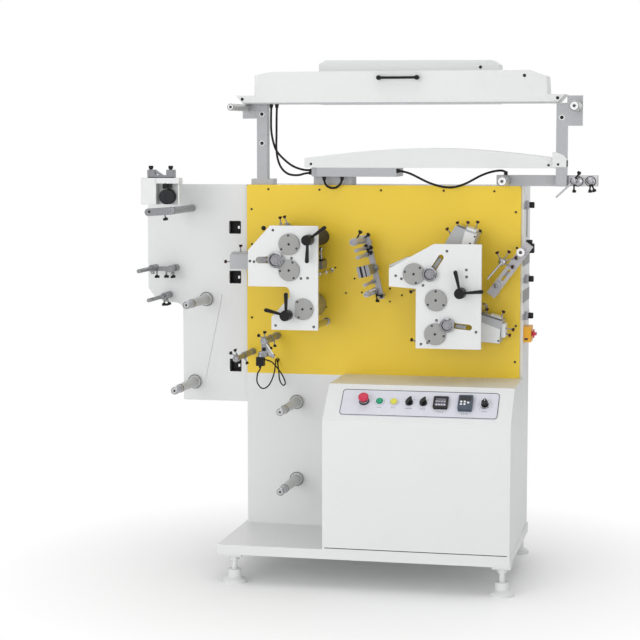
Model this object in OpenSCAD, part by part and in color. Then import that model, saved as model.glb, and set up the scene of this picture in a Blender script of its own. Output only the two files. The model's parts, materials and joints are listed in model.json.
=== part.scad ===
// Narrow-web flexographic label press, as a free-standing machine.
// Lengths are millimetres. X runs to the right, Y runs back and Z runs up.
// Pieces are drawn from the left edge and front face of the yellow plate and
// from the floor, and in_frame() then moves the origin under the middle.

/* [Main plate] */
// Width of the yellow front plate
plate_w = 1000; // [960:1:1100]
// Height of the yellow front plate
plate_h = 690; // [680:1:760]
// Thickness of the yellow front plate
plate_t = 12; // [8:1:16]

/* [Base] */
// Floor to the underside of the base tray
feet_h = 107; // [95:1:130]
// Height of the base tray
base_t = 34; // [28:1:45]
// Base tray past the left side of the body
base_left = 12; // [6:1:30]
// Base tray past the right side of the plate
base_right = 15; // [14:1:30]
// Base tray in front of the plate
base_front = 391; // [380:1:430]
// Base tray behind the plate
base_back = 370; // [360:1:400]
// Sheet thickness of the base tray
tray_wall = 6; // [4:1:10]
// Diameter of a levelling foot's pad
pad_d = 86; // [70:1:90]
// Diameter of a levelling foot's screw
foot_screw_d = 20; // [14:1:26]

/* [Body] */
// Height of the body's lower front, from the base to the yellow plate
lower_h = 559; // [540:1:620]
// Depth of the body behind the plate's front face
body_d = 220; // [200:1:240]
// Depth of the gear cover behind the body
gear_cover_d = 125; // [90:1:130]
// Gear cover's inset from each side of the body
gear_cover_in = 22; // [18:1:60]

/* [Wing] */
// Reach of the wing plate to the left of the body
wing_w = 384; // [375:1:430]
// Width of the wing plate's narrow lower part
wing_low_w = 250; // [244:1:256]
// Thickness of the wing plate
wing_t = 12; // [8:1:14]
// Setback of the wing plate behind the yellow plate's face
wing_back = 20; // [14:1:30]
// Side of a square latch recess in the wing plate
latch_size = 42; // [34:1:46]

/* [Console] */
// Width of the control console
console_w = 649; // [640:1:660]
// Height of the console's upright front above the base
console_front_h = 452; // [420:1:470]
// Depth of the sloping control face
slope_d = 121; // [110:1:130]
// Rise of the sloping control face
slope_h = 112; // [104:1:118]
// Width of the control panel
panel_w = 546; // [540:1:560]
// Height of the control panel along the slope
panel_h = 114; // [104:1:120]
// Thickness of the control panel
panel_t = 3; // [2:1:4]
// Diameter of a control's stem
stem_d = 16; // [12:1:18]
// Travel of a push button
button_travel = 4; // [3:1:5]

/* [Print heads] */
// Face of the head plates in front of the yellow plate
head_reach = 220; // [200:1:230]
// Thickness of the head plates
head_t = 14; // [10:1:16]
// Diameter of a bearing cap
cap_d = 76; // [70:1:80]
// Thickness of a bearing cap
cap_t = 9; // [6:1:12]
// Diameter of a roller barrel in the heads
barrel_d = 84; // [70:1:88]
// Diameter of a head roller's journal
journal_d = 30; // [24:1:36]
// Diameter of a stay pillar
stay_d = 22; // [16:1:24]
// Diameter of a lever's shaft
lever_shaft_d = 16; // [12:1:20]
// Length of a lever's arm
lever_arm = 74; // [66:1:78]

/* [Spindles and rollers] */
// Diameter of a spindle's flange
flange_d = 52; // [48:1:60]
// Diameter of a spindle's sleeve at its flange
sleeve_d = 36; // [30:1:40]
// Diameter of a spindle's shaft
spindle_shaft_d = 18; // [14:1:22]
// Length of a body spindle in front of the body
body_spindle_l = 275; // [250:1:300]
// Length of a wing spindle in front of the wing
wing_spindle_l = 275; // [250:1:300]
// Diameter of a guide roller's shaft
roller_shaft_d = 10; // [8:1:12]
// Diameter of the left guide roller
left_roller_d = 25; // [20:1:32]
// Diameter of the right guide rollers
right_roller_d = 34; // [28:1:38]

/* [Top frame] */
// Width of a top frame post
post_w = 38; // [34:1:44]
// Depth of a top frame post
post_d = 40; // [30:1:44]
// Height of the posts above the body
post_h = 291; // [280:1:320]
// Height of the beam on the right
beam_h = 38; // [36:1:48]
// Reach of the beam past the plate's right edge
beam_reach = 267; // [250:1:290]
// Height of the front hood
hood_h = 114; // [100:1:124]
// Depth of the front hood
hood_d = 150; // [130:1:170]

/* [Fits] */
// Clearance all round a turning or sliding shaft
run_gap = 0.05; // [0.02:0.01:0.09]
// Free gap beside a moving piece
free_gap = 6; // [5:0.5:8]
// Diameter of a machine cable
cable_d = 8; // [6:1:9]
// Diameter of the sensor's fibre cable
fibre_d = 5; // [4:1:6]

/* [Hidden] */
$fn = 48;

light_grey = [0.86, 0.86, 0.86];
mid_grey = [0.70, 0.70, 0.72];
dark = [0.08, 0.07, 0.07];
chrome_tone = [0.80, 0.80, 0.82];
yellow = [0.89, 0.76, 0.29];

base_z = feet_h + base_t;
plate_z = base_z + lower_h;
top_z = plate_z + plate_h;
body_x2 = plate_w + 10;
base_x2 = plate_w + base_right;
beam_x2 = plate_w + beam_reach;
mid_x = (beam_x2 - wing_w) / 2;
mid_y = (base_back - base_front) / 2;

// Base tray: its rear part is as narrow as the gear cover
tray_rear_in = gear_cover_in - 4;
foot_points = [
    [40, 44 - base_front], [base_x2 - 30, 44 - base_front],
    [50, base_back - 44], [plate_w - 35, base_back - 44]
];

// Wing plate
wing_z = plate_z - 110;
wing_step_z = top_z - 438;
wing_spindle_x = -wing_low_w + 92;
wing_low_spindle_x = -wing_low_w + 46;
wing_up_spindle_z = top_z - 422;
wing_low_spindle_z = wing_z + 70;
wing_face = wing_back;
latch_x = -50;
latch_zs = [top_z - 157, top_z - 340, wing_z + 134];

// Console
console_x2 = base_x2 - 1;
console_x1 = console_x2 - console_w;
slope_z = base_z + console_front_h;
slope_len = sqrt(slope_d * slope_d + slope_h * slope_h);
slope_tilt = atan2(slope_h, slope_d);
panel_mid_x = console_x1 + 328;
row_y = 3;
stem_bore_d = stem_d + 2 * run_gap;
control_x = [-192, -138, -88, -35, 14, 75, 160, 226];
pocket_d = stem_d + 10;
pocket_deep = 34;

// Print heads
head_face = -head_reach;
head_back = head_face + head_t;
left_head_x = plate_w * 0.06;
left_head_z = plate_z + 184;
left_head_w = 253;
left_head_h = 368;
left_head_top = left_head_z + left_head_h;
right_head_x = plate_w * 0.566;
right_head_z = plate_z + 130;
right_head_w = 323;
right_head_h = 364;
right_head_top = right_head_z + right_head_h;
// Height on the right head for a height measured on its 364 mm plate
function right_z(z) = right_head_z + z * right_head_h / 364;
left_caps = [[left_head_x + 150, left_head_top - 65], [left_head_x + 150, left_head_top - 157]];
flat_cap = [left_head_x + 199, left_head_z + 75];
flat_side = 27;
right_caps = [
    [right_head_x + 88, right_z(259)], [right_head_x + 166, right_z(169)], [right_head_x + 164, right_z(51)]
];
all_caps = concat(left_caps, [flat_cap], right_caps);
stay_points = [
    [left_head_x + 92, left_head_top - 13], [left_head_x + 96, left_head_z + 14],
    [left_head_x + 238, left_head_z + 12], [left_head_x + 60, left_head_top - 178],
    [right_head_x + 130, right_z(310)], [right_head_x + 306, right_z(130)],
    [right_head_x + 110, right_z(16)], [right_head_x + 30, right_z(250)]
];
upper_lever = [left_head_x + 223, left_head_top - 48];
lower_lever = [left_head_x + 145, left_head_z + 54];
side_lever = [right_head_x + 254, right_z(197)];
back_roller_d = 56;
lever_face = head_face - 55;
lever_arm_back = head_face - 26;
hub_d = 36;
rear_disc_t = 14;

// Body spindles
spindle_x = console_x1 * 0.515;
upper_spindle_z = base_z + 457;
lower_spindle_z = base_z + 172;
flange_t = 14;

// Top frame
left_post_x = 35;
right_post_x = plate_w + 124;
left_post_y = 14;
hood_z = top_z + post_h;
beam_x1 = plate_w - 88;
beam_t = 50;
rear_hood_x1 = left_post_x + 210;
rear_hood_x2 = right_post_x - 219;
rear_hood_h = hood_h + 46;
rear_hood_d = 110;
lower_hood_x1 = 222;
lower_hood_x2 = right_post_x;
lower_hood_z = top_z + 63;
lower_hood_d = 160;
tray_h = 32;
tray_x1 = 267;
tray_x2 = 557;
tray_front = -30;
tray_z = lower_hood_z - tray_h;
left_roller_x = 3;
left_roller_z = hood_z - 14;
right_roller_x = plate_w + 197;
right_roller_z = hood_z - 13;
beam_roller_x = plate_w - 54;
beam_roller_z = top_z + 19;

// Edge unit on the wing
infeed_x1 = -327;
infeed_x2 = -185;
infeed_z1 = top_z - 67;
infeed_z2 = top_z + 28;
infeed_front = -240;

// Isolator on the body's right side
isolator_y = 70;
isolator_z = plate_z + 160;
isolator_w = 80;
isolator_h = 56;
isolator_t = 26;

// Cable routes, by hand: each end runs square to its housing and stops just short of it
end_gap = 0.3;
post_x = left_post_x + 49;
tray_in = tray_x1 - 22 - end_gap;
lamp_route = [
    [post_x + 2, 31, hood_z - end_gap], [post_x + 1, 31, hood_z - 14], [post_x, 32, hood_z - 50],
    [post_x, 34, hood_z - 92], [post_x + 6, 34, hood_z - 130], [post_x + 20, 32, hood_z - 168],
    [post_x + 50, 28, hood_z - 200], [post_x + 84, 24, hood_z - 224], [post_x + 120, 20, hood_z - 236],
    [tray_in - 14, 18, hood_z - 238], [tray_in, 18, hood_z - 238]
];
power_route = [
    [post_x + 25, 18, hood_z - end_gap], [post_x + 25, 18, hood_z - 14], [post_x + 24, 18, hood_z - 52],
    [post_x + 24, 16, hood_z - 110], [post_x + 24, 14, hood_z - 160], [post_x + 30, 12, hood_z - 200],
    [post_x + 46, 6, hood_z - 232], [post_x + 72, 2, hood_z - 252], [post_x + 106, 0, hood_z - 256],
    [tray_in - 28, 0, hood_z - 250], [tray_in - 12, 0, hood_z - 248], [tray_in, 0, hood_z - 248]
];
loop_route = [
    [tray_x1 + 25, -18, tray_z - end_gap], [tray_x1 + 26, -18, tray_z - 14], [tray_x1 + 32, -18, tray_z - 30],
    [tray_x1 + 47, -18, tray_z - 40], [tray_x1 + 66, -18, tray_z - 40], [tray_x1 + 82, -18, tray_z - 30],
    [tray_x1 + 90, -18, tray_z - 14], [tray_x1 + 91, -18, tray_z - end_gap]
];
outfeed_end = beam_x1 + 30;
outfeed_run = outfeed_end - tray_x2;
outfeed_route = [
    [tray_x2 + end_gap, -18, top_z + 52], [tray_x2 + 14, -18, top_z + 51],
    [tray_x2 + 0.13 * outfeed_run, -18, top_z + 42], [tray_x2 + 0.32 * outfeed_run, -18, top_z + 8],
    [tray_x2 + 0.49 * outfeed_run, -18, top_z - 6], [tray_x2 + 0.63 * outfeed_run, -18, top_z + 6],
    [tray_x2 + 0.78 * outfeed_run, -12, top_z + 36], [tray_x2 + 0.88 * outfeed_run, 2, top_z + 50],
    [tray_x2 + 0.96 * outfeed_run, 16, top_z + 54], [outfeed_end, 20, top_z + beam_h + 10],
    [outfeed_end, 20, top_z + beam_h + end_gap]
];
fibre_x = left_head_x + 54;
fibre_route = [
    [fibre_x - 16, -200, plate_z + 52 - end_gap], [fibre_x - 16, -200, plate_z + 40],
    [fibre_x - 26, -197, plate_z + 22], [fibre_x - 32, -180, plate_z - 10], [fibre_x - 22, -150, plate_z - 36],
    [fibre_x - 8, -110, plate_z - 32], [fibre_x + 2, -74, plate_z], [fibre_x + 2, -44, plate_z + 35],
    [fibre_x - 3.2, -16, plate_z + 50], [fibre_x - 3.2, -end_gap, plate_z + 50]
];
fibre_return_route = [
    [fibre_x + end_gap, -200, plate_z + 74], [fibre_x + 10, -198, plate_z + 72],
    [fibre_x + 22, -176, plate_z + 62], [fibre_x + 35, -140, plate_z + 35], [fibre_x + 45, -110, plate_z + 6],
    [fibre_x + 50, -90, plate_z - 21], [fibre_x + 41, -75, plate_z - 33], [fibre_x + 30, -64, plate_z - 30],
    [fibre_x + 19, -50, plate_z - 15], [fibre_x + 12, -32, plate_z + 12], [fibre_x + 6, -20, plate_z + 34],
    [fibre_x + 3.2, -12, plate_z + 47], [fibre_x + 3.2, -end_gap, plate_z + 50]
];
smooth_steps = 3;

// Moves the drawing frame so that the origin lies under the middle of the machine
module in_frame() translate([-mid_x, -mid_y, 0]) children();

// Extrudes an X-Z outline from y_front back to y_back
module across(y_front, y_back)
    translate([0, y_back, 0]) rotate([90, 0, 0]) linear_extrude(y_back - y_front) children();

// Extrudes a Y-Z outline from x_left to x_right
module along(x_left, x_right)
    translate([x_left, 0, 0]) rotate([90, 0, 90]) linear_extrude(x_right - x_left) children();

// Round bar along Y at a point of the X-Z plane
module bar(point, y_front, y_back, d)
    across(y_front, y_back) translate(point) circle(d = d);

// Revolved piece that points at the viewer from a face
module turned(point, face_y)
    translate([point[0], face_y, point[1]]) rotate([90, 0, 0]) rotate_extrude() children();

// Rectangle with round corners, about its middle
module rounded(w, h, r) {
    square([w - 2 * r, h], center = true);
    square([w, h - 2 * r], center = true);
    for (sx = [-1, 1], sy = [-1, 1])
        translate([sx * (w / 2 - r), sy * (h / 2 - r)]) circle(r);
}

// Points of an arc about a centre
function arc(centre, r, from, to, count) =
    [for (i = [0:count]) let (a = from + (to - from) * i / count) centre + r * [cos(a), sin(a)]];

// Catmull-Rom point between b and c
function curve_point(a, b, c, d, t) =
    0.5 * (2 * b + (c - a) * t + (2 * a - 5 * b + 4 * c - d) * t * t + (3 * b - a - 3 * c + d) * t * t * t);

// Smooth route through hand-chosen points
function smooth(points) = [
    for (i = [0:len(points) - 2], s = [0:smooth_steps - 1])
        curve_point(points[max(i - 1, 0)], points[i], points[i + 1],
            points[min(i + 2, len(points) - 1)], s / smooth_steps),
    points[len(points) - 1]
];

function unit(v) = v / norm(v);
function heading(points, i) =
    unit(points[min(i + 1, len(points) - 1)] - points[max(i - 1, 0)]);
// Side direction of each ring, carried along the route so that the tube doesn't twist
function sides(points, i = 0, last = [0, 1, 0], found = []) =
    i == len(points) ? found :
    let (h = heading(points, i), s = unit(last - (last * h) * h)) sides(points, i + 1, s, concat(found, [s]));

// Round cable swept along a route
module cable(route, d, start_side = [0, 1, 0]) {
    points = smooth(route);
    count = len(points);
    edges = 8;
    across_dirs = sides(points, 0, start_side);
    rings = [
        for (i = [0:count - 1], k = [0:edges - 1])
            let (h = heading(points, i), s = across_dirs[i], u = cross(h, s), a = 360 * k / edges)
                points[i] + d / 2 * (cos(a) * s + sin(a) * u)
    ];
    walls = [
        for (i = [0:count - 2], k = [0:edges - 1])
            let (n = (k + 1) % edges)
                [i * edges + k, i * edges + n, (i + 1) * edges + n, (i + 1) * edges + k]
    ];
    first = [for (k = [edges - 1:-1:0]) k];
    last = [for (k = [0:edges - 1]) (count - 1) * edges + k];
    polyhedron(rings, concat([first], walls, [last]), convexity = 6);
}

// Base tray: a shallow steel tray, open below, with a narrower rear part
module tray_outline() {
    translate([-base_left, -base_front]) square([base_x2 + base_left, base_front + body_d]);
    translate([tray_rear_in, 0]) square([body_x2 - 2 * tray_rear_in, base_back]);
}

module base_tray()
    in_frame() color(light_grey) {
        translate([0, 0, base_z - tray_wall]) linear_extrude(tray_wall) tray_outline();
        difference() {
            translate([0, 0, feet_h]) linear_extrude(base_t) tray_outline();
            translate([-base_left + 40, -base_front + 80, feet_h - 1])
                cube([base_x2 + base_left - 80, base_front + body_d - 120, base_t - tray_wall + 1]);
        }
    }

// Levelling feet: bracket plate, lock nut, screw and dished pad
module levelling_feet()
    in_frame() color(mid_grey)
        for (point = foot_points)
            translate(concat(point, [0])) {
                rotate_extrude() polygon([
                    [0, 0], [pad_d / 2, 0], [pad_d / 2, 9], [pad_d / 2 - 6, 14], [26, 20], [24, 22], [24, 48],
                    [foot_screw_d / 2, 48], [foot_screw_d / 2, feet_h - 4], [0, feet_h - 4]
                ]);
                translate([0, 0, feet_h - 26]) cylinder(d = 36, h = 16, $fn = 6);
                translate([-32, -32, feet_h - 10]) cube([64, 64, 10]);
            }

// Body: closed housing behind the plate, its lower front flush with the plate
module body_shell() {
    profile = [
        [0, base_z], [body_d, base_z], [body_d, top_z], [plate_t, top_z], [plate_t, plate_z], [0, plate_z]
    ];
    in_frame() color(light_grey) difference() {
        along(0, body_x2) polygon(profile);
        for (z = [upper_spindle_z, lower_spindle_z]) spindle_bore([spindle_x, z], 0);
        // Shadow line between the body's front and its side panel
        translate([body_x2 - 2, plate_t + 4, base_z + 10]) cube([3, 3, top_z - base_z - 20]);
    }
}

// Gear cover at the back, with rows of cooling slots and two panel joints
module gear_cover() {
    cover_x1 = gear_cover_in;
    cover_x2 = body_x2 - gear_cover_in;
    cover_back = body_d + gear_cover_d;
    in_frame() color(light_grey) difference() {
        translate([cover_x1, body_d, base_z]) cube([cover_x2 - cover_x1, gear_cover_d, top_z - base_z - 60]);
        for (row = [0:9], side = [0, 1])
            translate([cover_x1 + 110 + side * (cover_x2 - cover_x1 - 400), cover_back - 8, base_z + 90 + row * 22])
                cube([180, 10, 8]);
        translate([(cover_x1 + cover_x2) / 2 - 1.5, cover_back - 3, base_z]) cube([3, 4, top_z]);
    }
}

// Yellow plate with bevelled upper corners
module front_plate()
    in_frame() color(yellow) across(0, plate_t) polygon([
        [0, plate_z], [plate_w, plate_z], [plate_w, top_z - 6], [plate_w - 6, top_z], [6, top_z], [0, top_z - 6]
    ]);

// Wing plate: stepped outline with a rounded inner corner, and a return flange on the body
module wing_outline() {
    chamfer = [[-wing_w, wing_step_z + 52], [-wing_w + 26, wing_step_z + 20], [-wing_w + 62, wing_step_z + 3]];
    polygon(concat(
        [[0, wing_z], [0, top_z], [-wing_w, top_z]], chamfer, [[-wing_low_w - 28, wing_step_z]],
        arc([-wing_low_w - 28, wing_step_z - 28], 28, 90, 0, 6), [[-wing_low_w, wing_z]]
    ));
}

module wing_plate()
    in_frame() color(light_grey) difference() {
        union() {
            across(wing_face, wing_face + wing_t) wing_outline();
            translate([-wing_t, wing_face, wing_z]) cube([wing_t, body_d - wing_face - 20, top_z - wing_z]);
        }
        for (z = latch_zs)
            translate([latch_x - latch_size / 2, wing_face - 1, z - latch_size / 2])
                cube([latch_size, wing_t + 2, latch_size]);
        spindle_bore([wing_spindle_x, wing_up_spindle_z], wing_face);
        spindle_bore([wing_low_spindle_x, wing_low_spindle_z], wing_face);
    }

// Flat cover on the wing over the spindles' drive belt
module wing_cover()
    in_frame() color(light_grey) across(wing_face - 3, wing_face) difference() {
        polygon(concat(
            [[wing_spindle_x + 58, wing_up_spindle_z + 16]],
            arc([wing_low_spindle_x + 2, wing_low_spindle_z + 6], 36, 0, -180, 12),
            [[wing_spindle_x - 36, wing_up_spindle_z - 42], [wing_spindle_x + 34, wing_up_spindle_z + 16]]
        ));
        translate([wing_spindle_x, wing_up_spindle_z]) circle(d = flange_d + 1);
        translate([wing_low_spindle_x, wing_low_spindle_z]) circle(d = flange_d + 1);
    }

// Flush latches: a black cup behind each square hole, with a small turn key
module wing_latches()
    in_frame() color(dark) for (z = latch_zs) translate([latch_x, 0, z]) {
        difference() {
            translate([-latch_size / 2 - 6, wing_face + wing_t, -latch_size / 2 - 6])
                cube([latch_size + 12, 16, latch_size + 12]);
            translate([-latch_size / 2, wing_face, -latch_size / 2]) cube([latch_size, wing_t + 12, latch_size]);
        }
        translate([latch_size / 2 - 12, wing_face + 2, -4]) cube([6, wing_t + 12, 8]);
    }

// Console: closed sheet housing with an upright front, a sloping control face and a flat top
module console_housing()
    in_frame() color(light_grey) difference() {
        along(console_x1, console_x2) polygon([
            [-base_front, base_z], [0, base_z], [0, slope_z + slope_h], [slope_d - base_front, slope_z + slope_h],
            [-base_front, slope_z]
        ]);
        for (x = control_x) on_slope(x) translate([0, 0, -pocket_deep]) cylinder(d = pocket_d, h = pocket_deep + 1);
        translate([console_x1 + 8, -base_front - 1, base_z + 4]) cube([console_w - 16, 2, 3]);
    }

// Places children on the sloping face, x from the panel's middle and y up the slope
module on_slope(x, y = row_y)
    translate([panel_mid_x, -base_front, slope_z]) rotate([slope_tilt, 0, 0])
        translate([x, slope_len / 2 + y, 0]) children();

// Raised collar round a control
module collar(d, h) difference() {
    cylinder(d = d, h = h);
    translate([0, 0, -1]) cylinder(d = d - 7, h = h + 2);
}

// Control panel with its collars
module console_panel()
    in_frame() color(light_grey) difference() {
        union() {
            on_slope(0, 0) linear_extrude(panel_t) rounded(panel_w, panel_h, 12);
            for (x = [control_x[1], control_x[2]]) on_slope(x) collar(32, panel_t + 5);
            for (x = [control_x[3], control_x[4], control_x[7]]) on_slope(x) cylinder(d = 30, h = panel_t + 2);
            on_slope(control_x[0]) cylinder(d = 44, h = panel_t + 2);
            on_slope(control_x[0]) cylinder(d = 28, h = panel_t + 9);
        }
        for (x = [for (i = [0, 1, 2, 3, 4, 7]) control_x[i]])
            on_slope(x) translate([0, 0, -1]) cylinder(d = stem_bore_d, h = panel_t + 12);
    }

// Stem of a control, from inside the console up to the underside of its cap
module stem(top) translate([0, 0, -22]) cylinder(d = stem_d, h = top + 22);

// Emergency stop: mushroom head that is pressed down
module emergency_stop()
    in_frame() color("red") on_slope(control_x[0]) {
        stem(panel_t + 20);
        translate([0, 0, panel_t + 19]) rotate_extrude() polygon([
            [0, 0], [15, 0], [18, 3], [18, 8], [15, 12], [9, 14], [0, 14.6]
        ]);
    }

// Push button cap on its stem, inside a collar
module push_button(x, tone)
    in_frame() color(tone) on_slope(x) {
        stem(panel_t + 5);
        translate([0, 0, panel_t + button_travel + 1]) rotate_extrude()
            polygon([[0, 0], [11.5, 0], [11.5, 4], [10.5, 5], [0, 5.4]]);
    }

module start_button() push_button(control_x[1], "green");
module stop_button() push_button(control_x[2], "gold");

// Selector: round black cap with a raised, pointed grip
module selector(x)
    in_frame() color(dark) on_slope(x) {
        stem(panel_t + 4);
        translate([0, 0, panel_t + 3]) cylinder(d = 26, h = 5);
        translate([0, 0, panel_t + 7]) linear_extrude(13) rotate(-28)
            polygon([[-4, -13], [4, -13], [7, -2], [4, 12], [0, 17], [-4, 12], [-7, -2]]);
    }

module selector_left() selector(control_x[3]);
module selector_right() selector(control_x[4]);

// Counter with four digit drums in a window
module meter_counter()
    in_frame() color(dark) on_slope(control_x[5]) translate([0, 0, panel_t]) difference() {
        linear_extrude(9) rounded(48, 48, 3);
        translate([-19, -2, 5]) cube([38, 16, 5]);
        for (i = [0:3]) translate([-16 + i * 10.7, -14, 7]) cylinder(d = 6, h = 3);
    }

// Timer with a dark face
module timer_display()
    in_frame() color(dark) on_slope(control_x[6]) translate([0, 0, panel_t]) difference() {
        linear_extrude(12) rounded(48, 62, 3);
        translate([-20, -2, 9]) cube([40, 26, 4]);
        for (i = [0:4]) translate([-16 + i * 8, -16, 10]) cylinder(d = 4, h = 3);
    }

// Speed knob: drop-shaped cap on a round skirt
module speed_knob()
    in_frame() color(dark) on_slope(control_x[7]) {
        stem(panel_t + 4);
        translate([0, 0, panel_t + 3]) cylinder(d = 26, h = 4);
        translate([0, 0, panel_t + 6]) linear_extrude(13)
            polygon(concat([[0, 17]], arc([0, 0], 11, 150, 390, 16)));
    }

// Outline of the left head plate, with its rounded inner corner
module left_head_outline() translate([left_head_x, left_head_z])
    polygon(concat(
        [[85, 0], [left_head_w, 0], [left_head_w, left_head_h], [80, left_head_h], [0, left_head_h - 88], [0, 153]],
        arc([133, 135], 18, 90, 0, 6), [[151, 116], [85, 45]]
    ));

// Outline of the right head plate
module right_head_outline() translate([right_head_x, right_head_z])
    polygon([
        [95, 0], [right_head_w, 0], [right_head_w, right_head_h], [157, right_head_h], [0, right_head_h - 87],
        [0, right_head_h - 149], [95, right_head_h - 156]
    ]);

// Slot for a pressure ring, from one point to another
module slot(from, to, w) {
    run = to - from;
    turn = atan2(run[1], run[0]);
    polygon(concat(arc(to, w / 2, turn - 90, turn + 90, 10), arc(from, w / 2, turn + 90, turn + 270, 10)));
}

ring_points = [
    [left_head_x + 104, left_head_top - 120], [right_head_x + 145, right_z(260)],
    [right_head_x + 207, right_z(84)]
];
ring_radii = [28, 25, 25];
ring_boss_r = 14;
ring_gap = 1.5;
box_front = -120;
box_back = -16;
slot_ends = [
    [left_head_x + 40, left_head_top - 122], [right_head_x + 182, right_z(318)],
    [right_head_x + 282, right_z(76)]
];

module left_head_plate()
    in_frame() color(light_grey) difference() {
        across(head_face, head_back) left_head_outline();
        across(head_face - 1, head_back + 1) slot(ring_points[0], slot_ends[0], 24);
        for (point = concat(left_caps, [flat_cap])) bar(point, head_face - 1, head_back + 1, journal_d);
        for (point = [upper_lever, lower_lever])
            bar(point, head_face - 1, head_back + 1, lever_shaft_d + 2 * run_gap);
    }

module right_head_plate()
    in_frame() color(light_grey) difference() {
        across(head_face, head_back) right_head_outline();
        for (i = [1, 2]) across(head_face - 1, head_back + 1) slot(ring_points[i], slot_ends[i], 20);
        for (point = right_caps) bar(point, head_face - 1, head_back + 1, journal_d);
        bar(side_lever, head_face - 1, head_back + 1, lever_shaft_d + 2 * run_gap);
    }

// Stay pillars between the yellow plate and the head plates, with a foot collar each
module head_stays()
    in_frame() color(chrome_tone) for (point = stay_points) {
        bar(point, head_back, 0, stay_d);
        bar(point, -10, 0, stay_d + 6);
    }

// Rollers in the heads: a barrel with a journal at each end
module head_rollers()
    in_frame() color(mid_grey) {
        back_roller();
        for (point = all_caps) turned(point, 0) polygon([
            [0, 0], [journal_d / 2, 0], [journal_d / 2, rear_disc_t + 8], [barrel_d / 2 - 2, rear_disc_t + 8],
            [barrel_d / 2, rear_disc_t + 10], [barrel_d / 2, -head_back - 10], [barrel_d / 2 - 2, -head_back - 8],
            [journal_d / 2, -head_back - 8], [journal_d / 2, head_reach], [0, head_reach]
        ]);
    }

// Rubber roller on the yellow plate, in line with the upper lever
module back_roller() {
    r = back_roller_d / 2;
    turned(upper_lever, 0) polygon([
        [0, 0], [journal_d / 2, 0], [journal_d / 2, rear_disc_t], [r - 2, rear_disc_t], [r, rear_disc_t + 2],
        [r, -head_back - 22], [r - 2, -head_back - 20], [0, -head_back - 20]
    ]);
}

// Bearing caps on the head plates and bearing discs on the yellow plate
module bearing_caps()
    in_frame() color(mid_grey) {
        for (point = concat(left_caps, right_caps)) bearing_cap(point);
        difference() {
            bearing_cap(flat_cap);
            translate([flat_cap[0] - flat_side - 40, head_face - cap_t - 1, flat_cap[1] - 60])
                cube([40, cap_t + 1, 120]);
        }
        for (point = all_caps) turned(point, 0)
            polygon([[journal_d / 2, 0], [27, 0], [27, rear_disc_t - 2], [25, rear_disc_t], [journal_d / 2, rear_disc_t]]);
    }

module bearing_cap(point) turned(point, head_face) polygon([
    [0, 0], [cap_d / 2, 0], [cap_d / 2, cap_t - 1.5], [cap_d / 2 - 1.5, cap_t], [4.5, cap_t],
    [4.5, cap_t - 4], [0, cap_t - 4]
]);

// Pressure rings: chrome rings on bosses over the head plates' slots, with a deep socket
module pressure_rings()
    in_frame() color(chrome_tone) for (i = [0:2]) {
        back = cap_t + ring_gap;
        r = ring_radii[i];
        turned(ring_points[i], head_face) polygon([
            [0, 0], [ring_boss_r, 0], [ring_boss_r, back], [r - 1, back], [r, back + 1], [r, back + 8],
            [r - 3, back + 11], [r - 6, back + 11], [r - 9, back + 3], [9, back + 3], [9, back + 9], [0, back + 9]
        ]);
    }

// Ink boxes: covered trays beside the heads, each on a bracket from the yellow plate
module left_ink_box()
    in_frame() color(mid_grey) translate([left_head_x, 0, left_head_top]) {
        across(box_front, box_back) polygon([[-93, -162], [40, -162], [40, -109], [-93, -109]]);
        across(box_back, 0) translate([-40, -148]) square([60, 26]);
        across(box_front + 20, box_back - 30) translate([-93, -109]) square([60, 6]);
    }

module right_ink_boxes()
    in_frame() color(mid_grey) {
        translate([right_head_x, 0, right_head_top]) {
            across(box_front, box_back) polygon([[218, 59], [295, 32], [272, -34], [172, -18]]);
            across(box_back, 0) translate([226, -14]) square([30, 24]);
        }
        translate([right_head_x + right_head_w, 0, right_head_z]) {
            across(box_front, box_back) polygon([[-39, 18], [53, 12], [56, 67], [62, 90], [-9, 111], [-39, 111]]);
            across(box_back, 0) translate([-13, 50]) square([30, 24]);
        }
    }

// Two-armed lever on a shaft through its head plate: round knob, groove, collar and arms that widen outward
module bell_lever(point, angles)
    in_frame() color(dark) {
        across(lever_arm_back - 10, lever_arm_back) translate(point) for (angle = angles) rotate(angle)
            polygon(concat([[10, -3.6]], arc([lever_arm, 0], 6.8, -82, 82, 8), [[10, 3.6]]));
        bar(point, lever_face, lever_face + 17, hub_d);
        bar(point, lever_face + 16, lever_face + 20, hub_d - 6);
        bar(point, lever_face + 19, head_face - free_gap, hub_d + 2);
        bar(point, lever_face + 1, head_back + 12, lever_shaft_d);
    }

module upper_left_lever() bell_lever(upper_lever, [36, -92]);
module lower_left_lever() bell_lever(lower_lever, [90, 166]);
module right_lever() bell_lever(side_lever, [103, 5]);

// Guide bar between the heads, on two studs, with the web's pins and roller in front
guide_mid = (left_head_x + left_head_w + right_head_x) / 2;
guide_foot = [guide_mid + 68.5, plate_z + 291];
guide_head = [guide_mid + 14.5, plate_z + 509];
guide_run = guide_head - guide_foot;
guide_len = norm(guide_run);
guide_angle = atan2(guide_run[1], guide_run[0]);
guide_y = -52;
guide_t = 12;
web_front = -235;

// Places children on the guide bar, a share of the way up
module on_guide(share)
    translate([guide_foot[0], 0, guide_foot[1]]) rotate([0, -guide_angle, 0])
        translate([share * guide_len, 0, 0]) children();

// Point beside the guide bar, a share of the way up and to its left
function beside(share, left) = guide_foot + share * guide_run - [left, 0];

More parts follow.
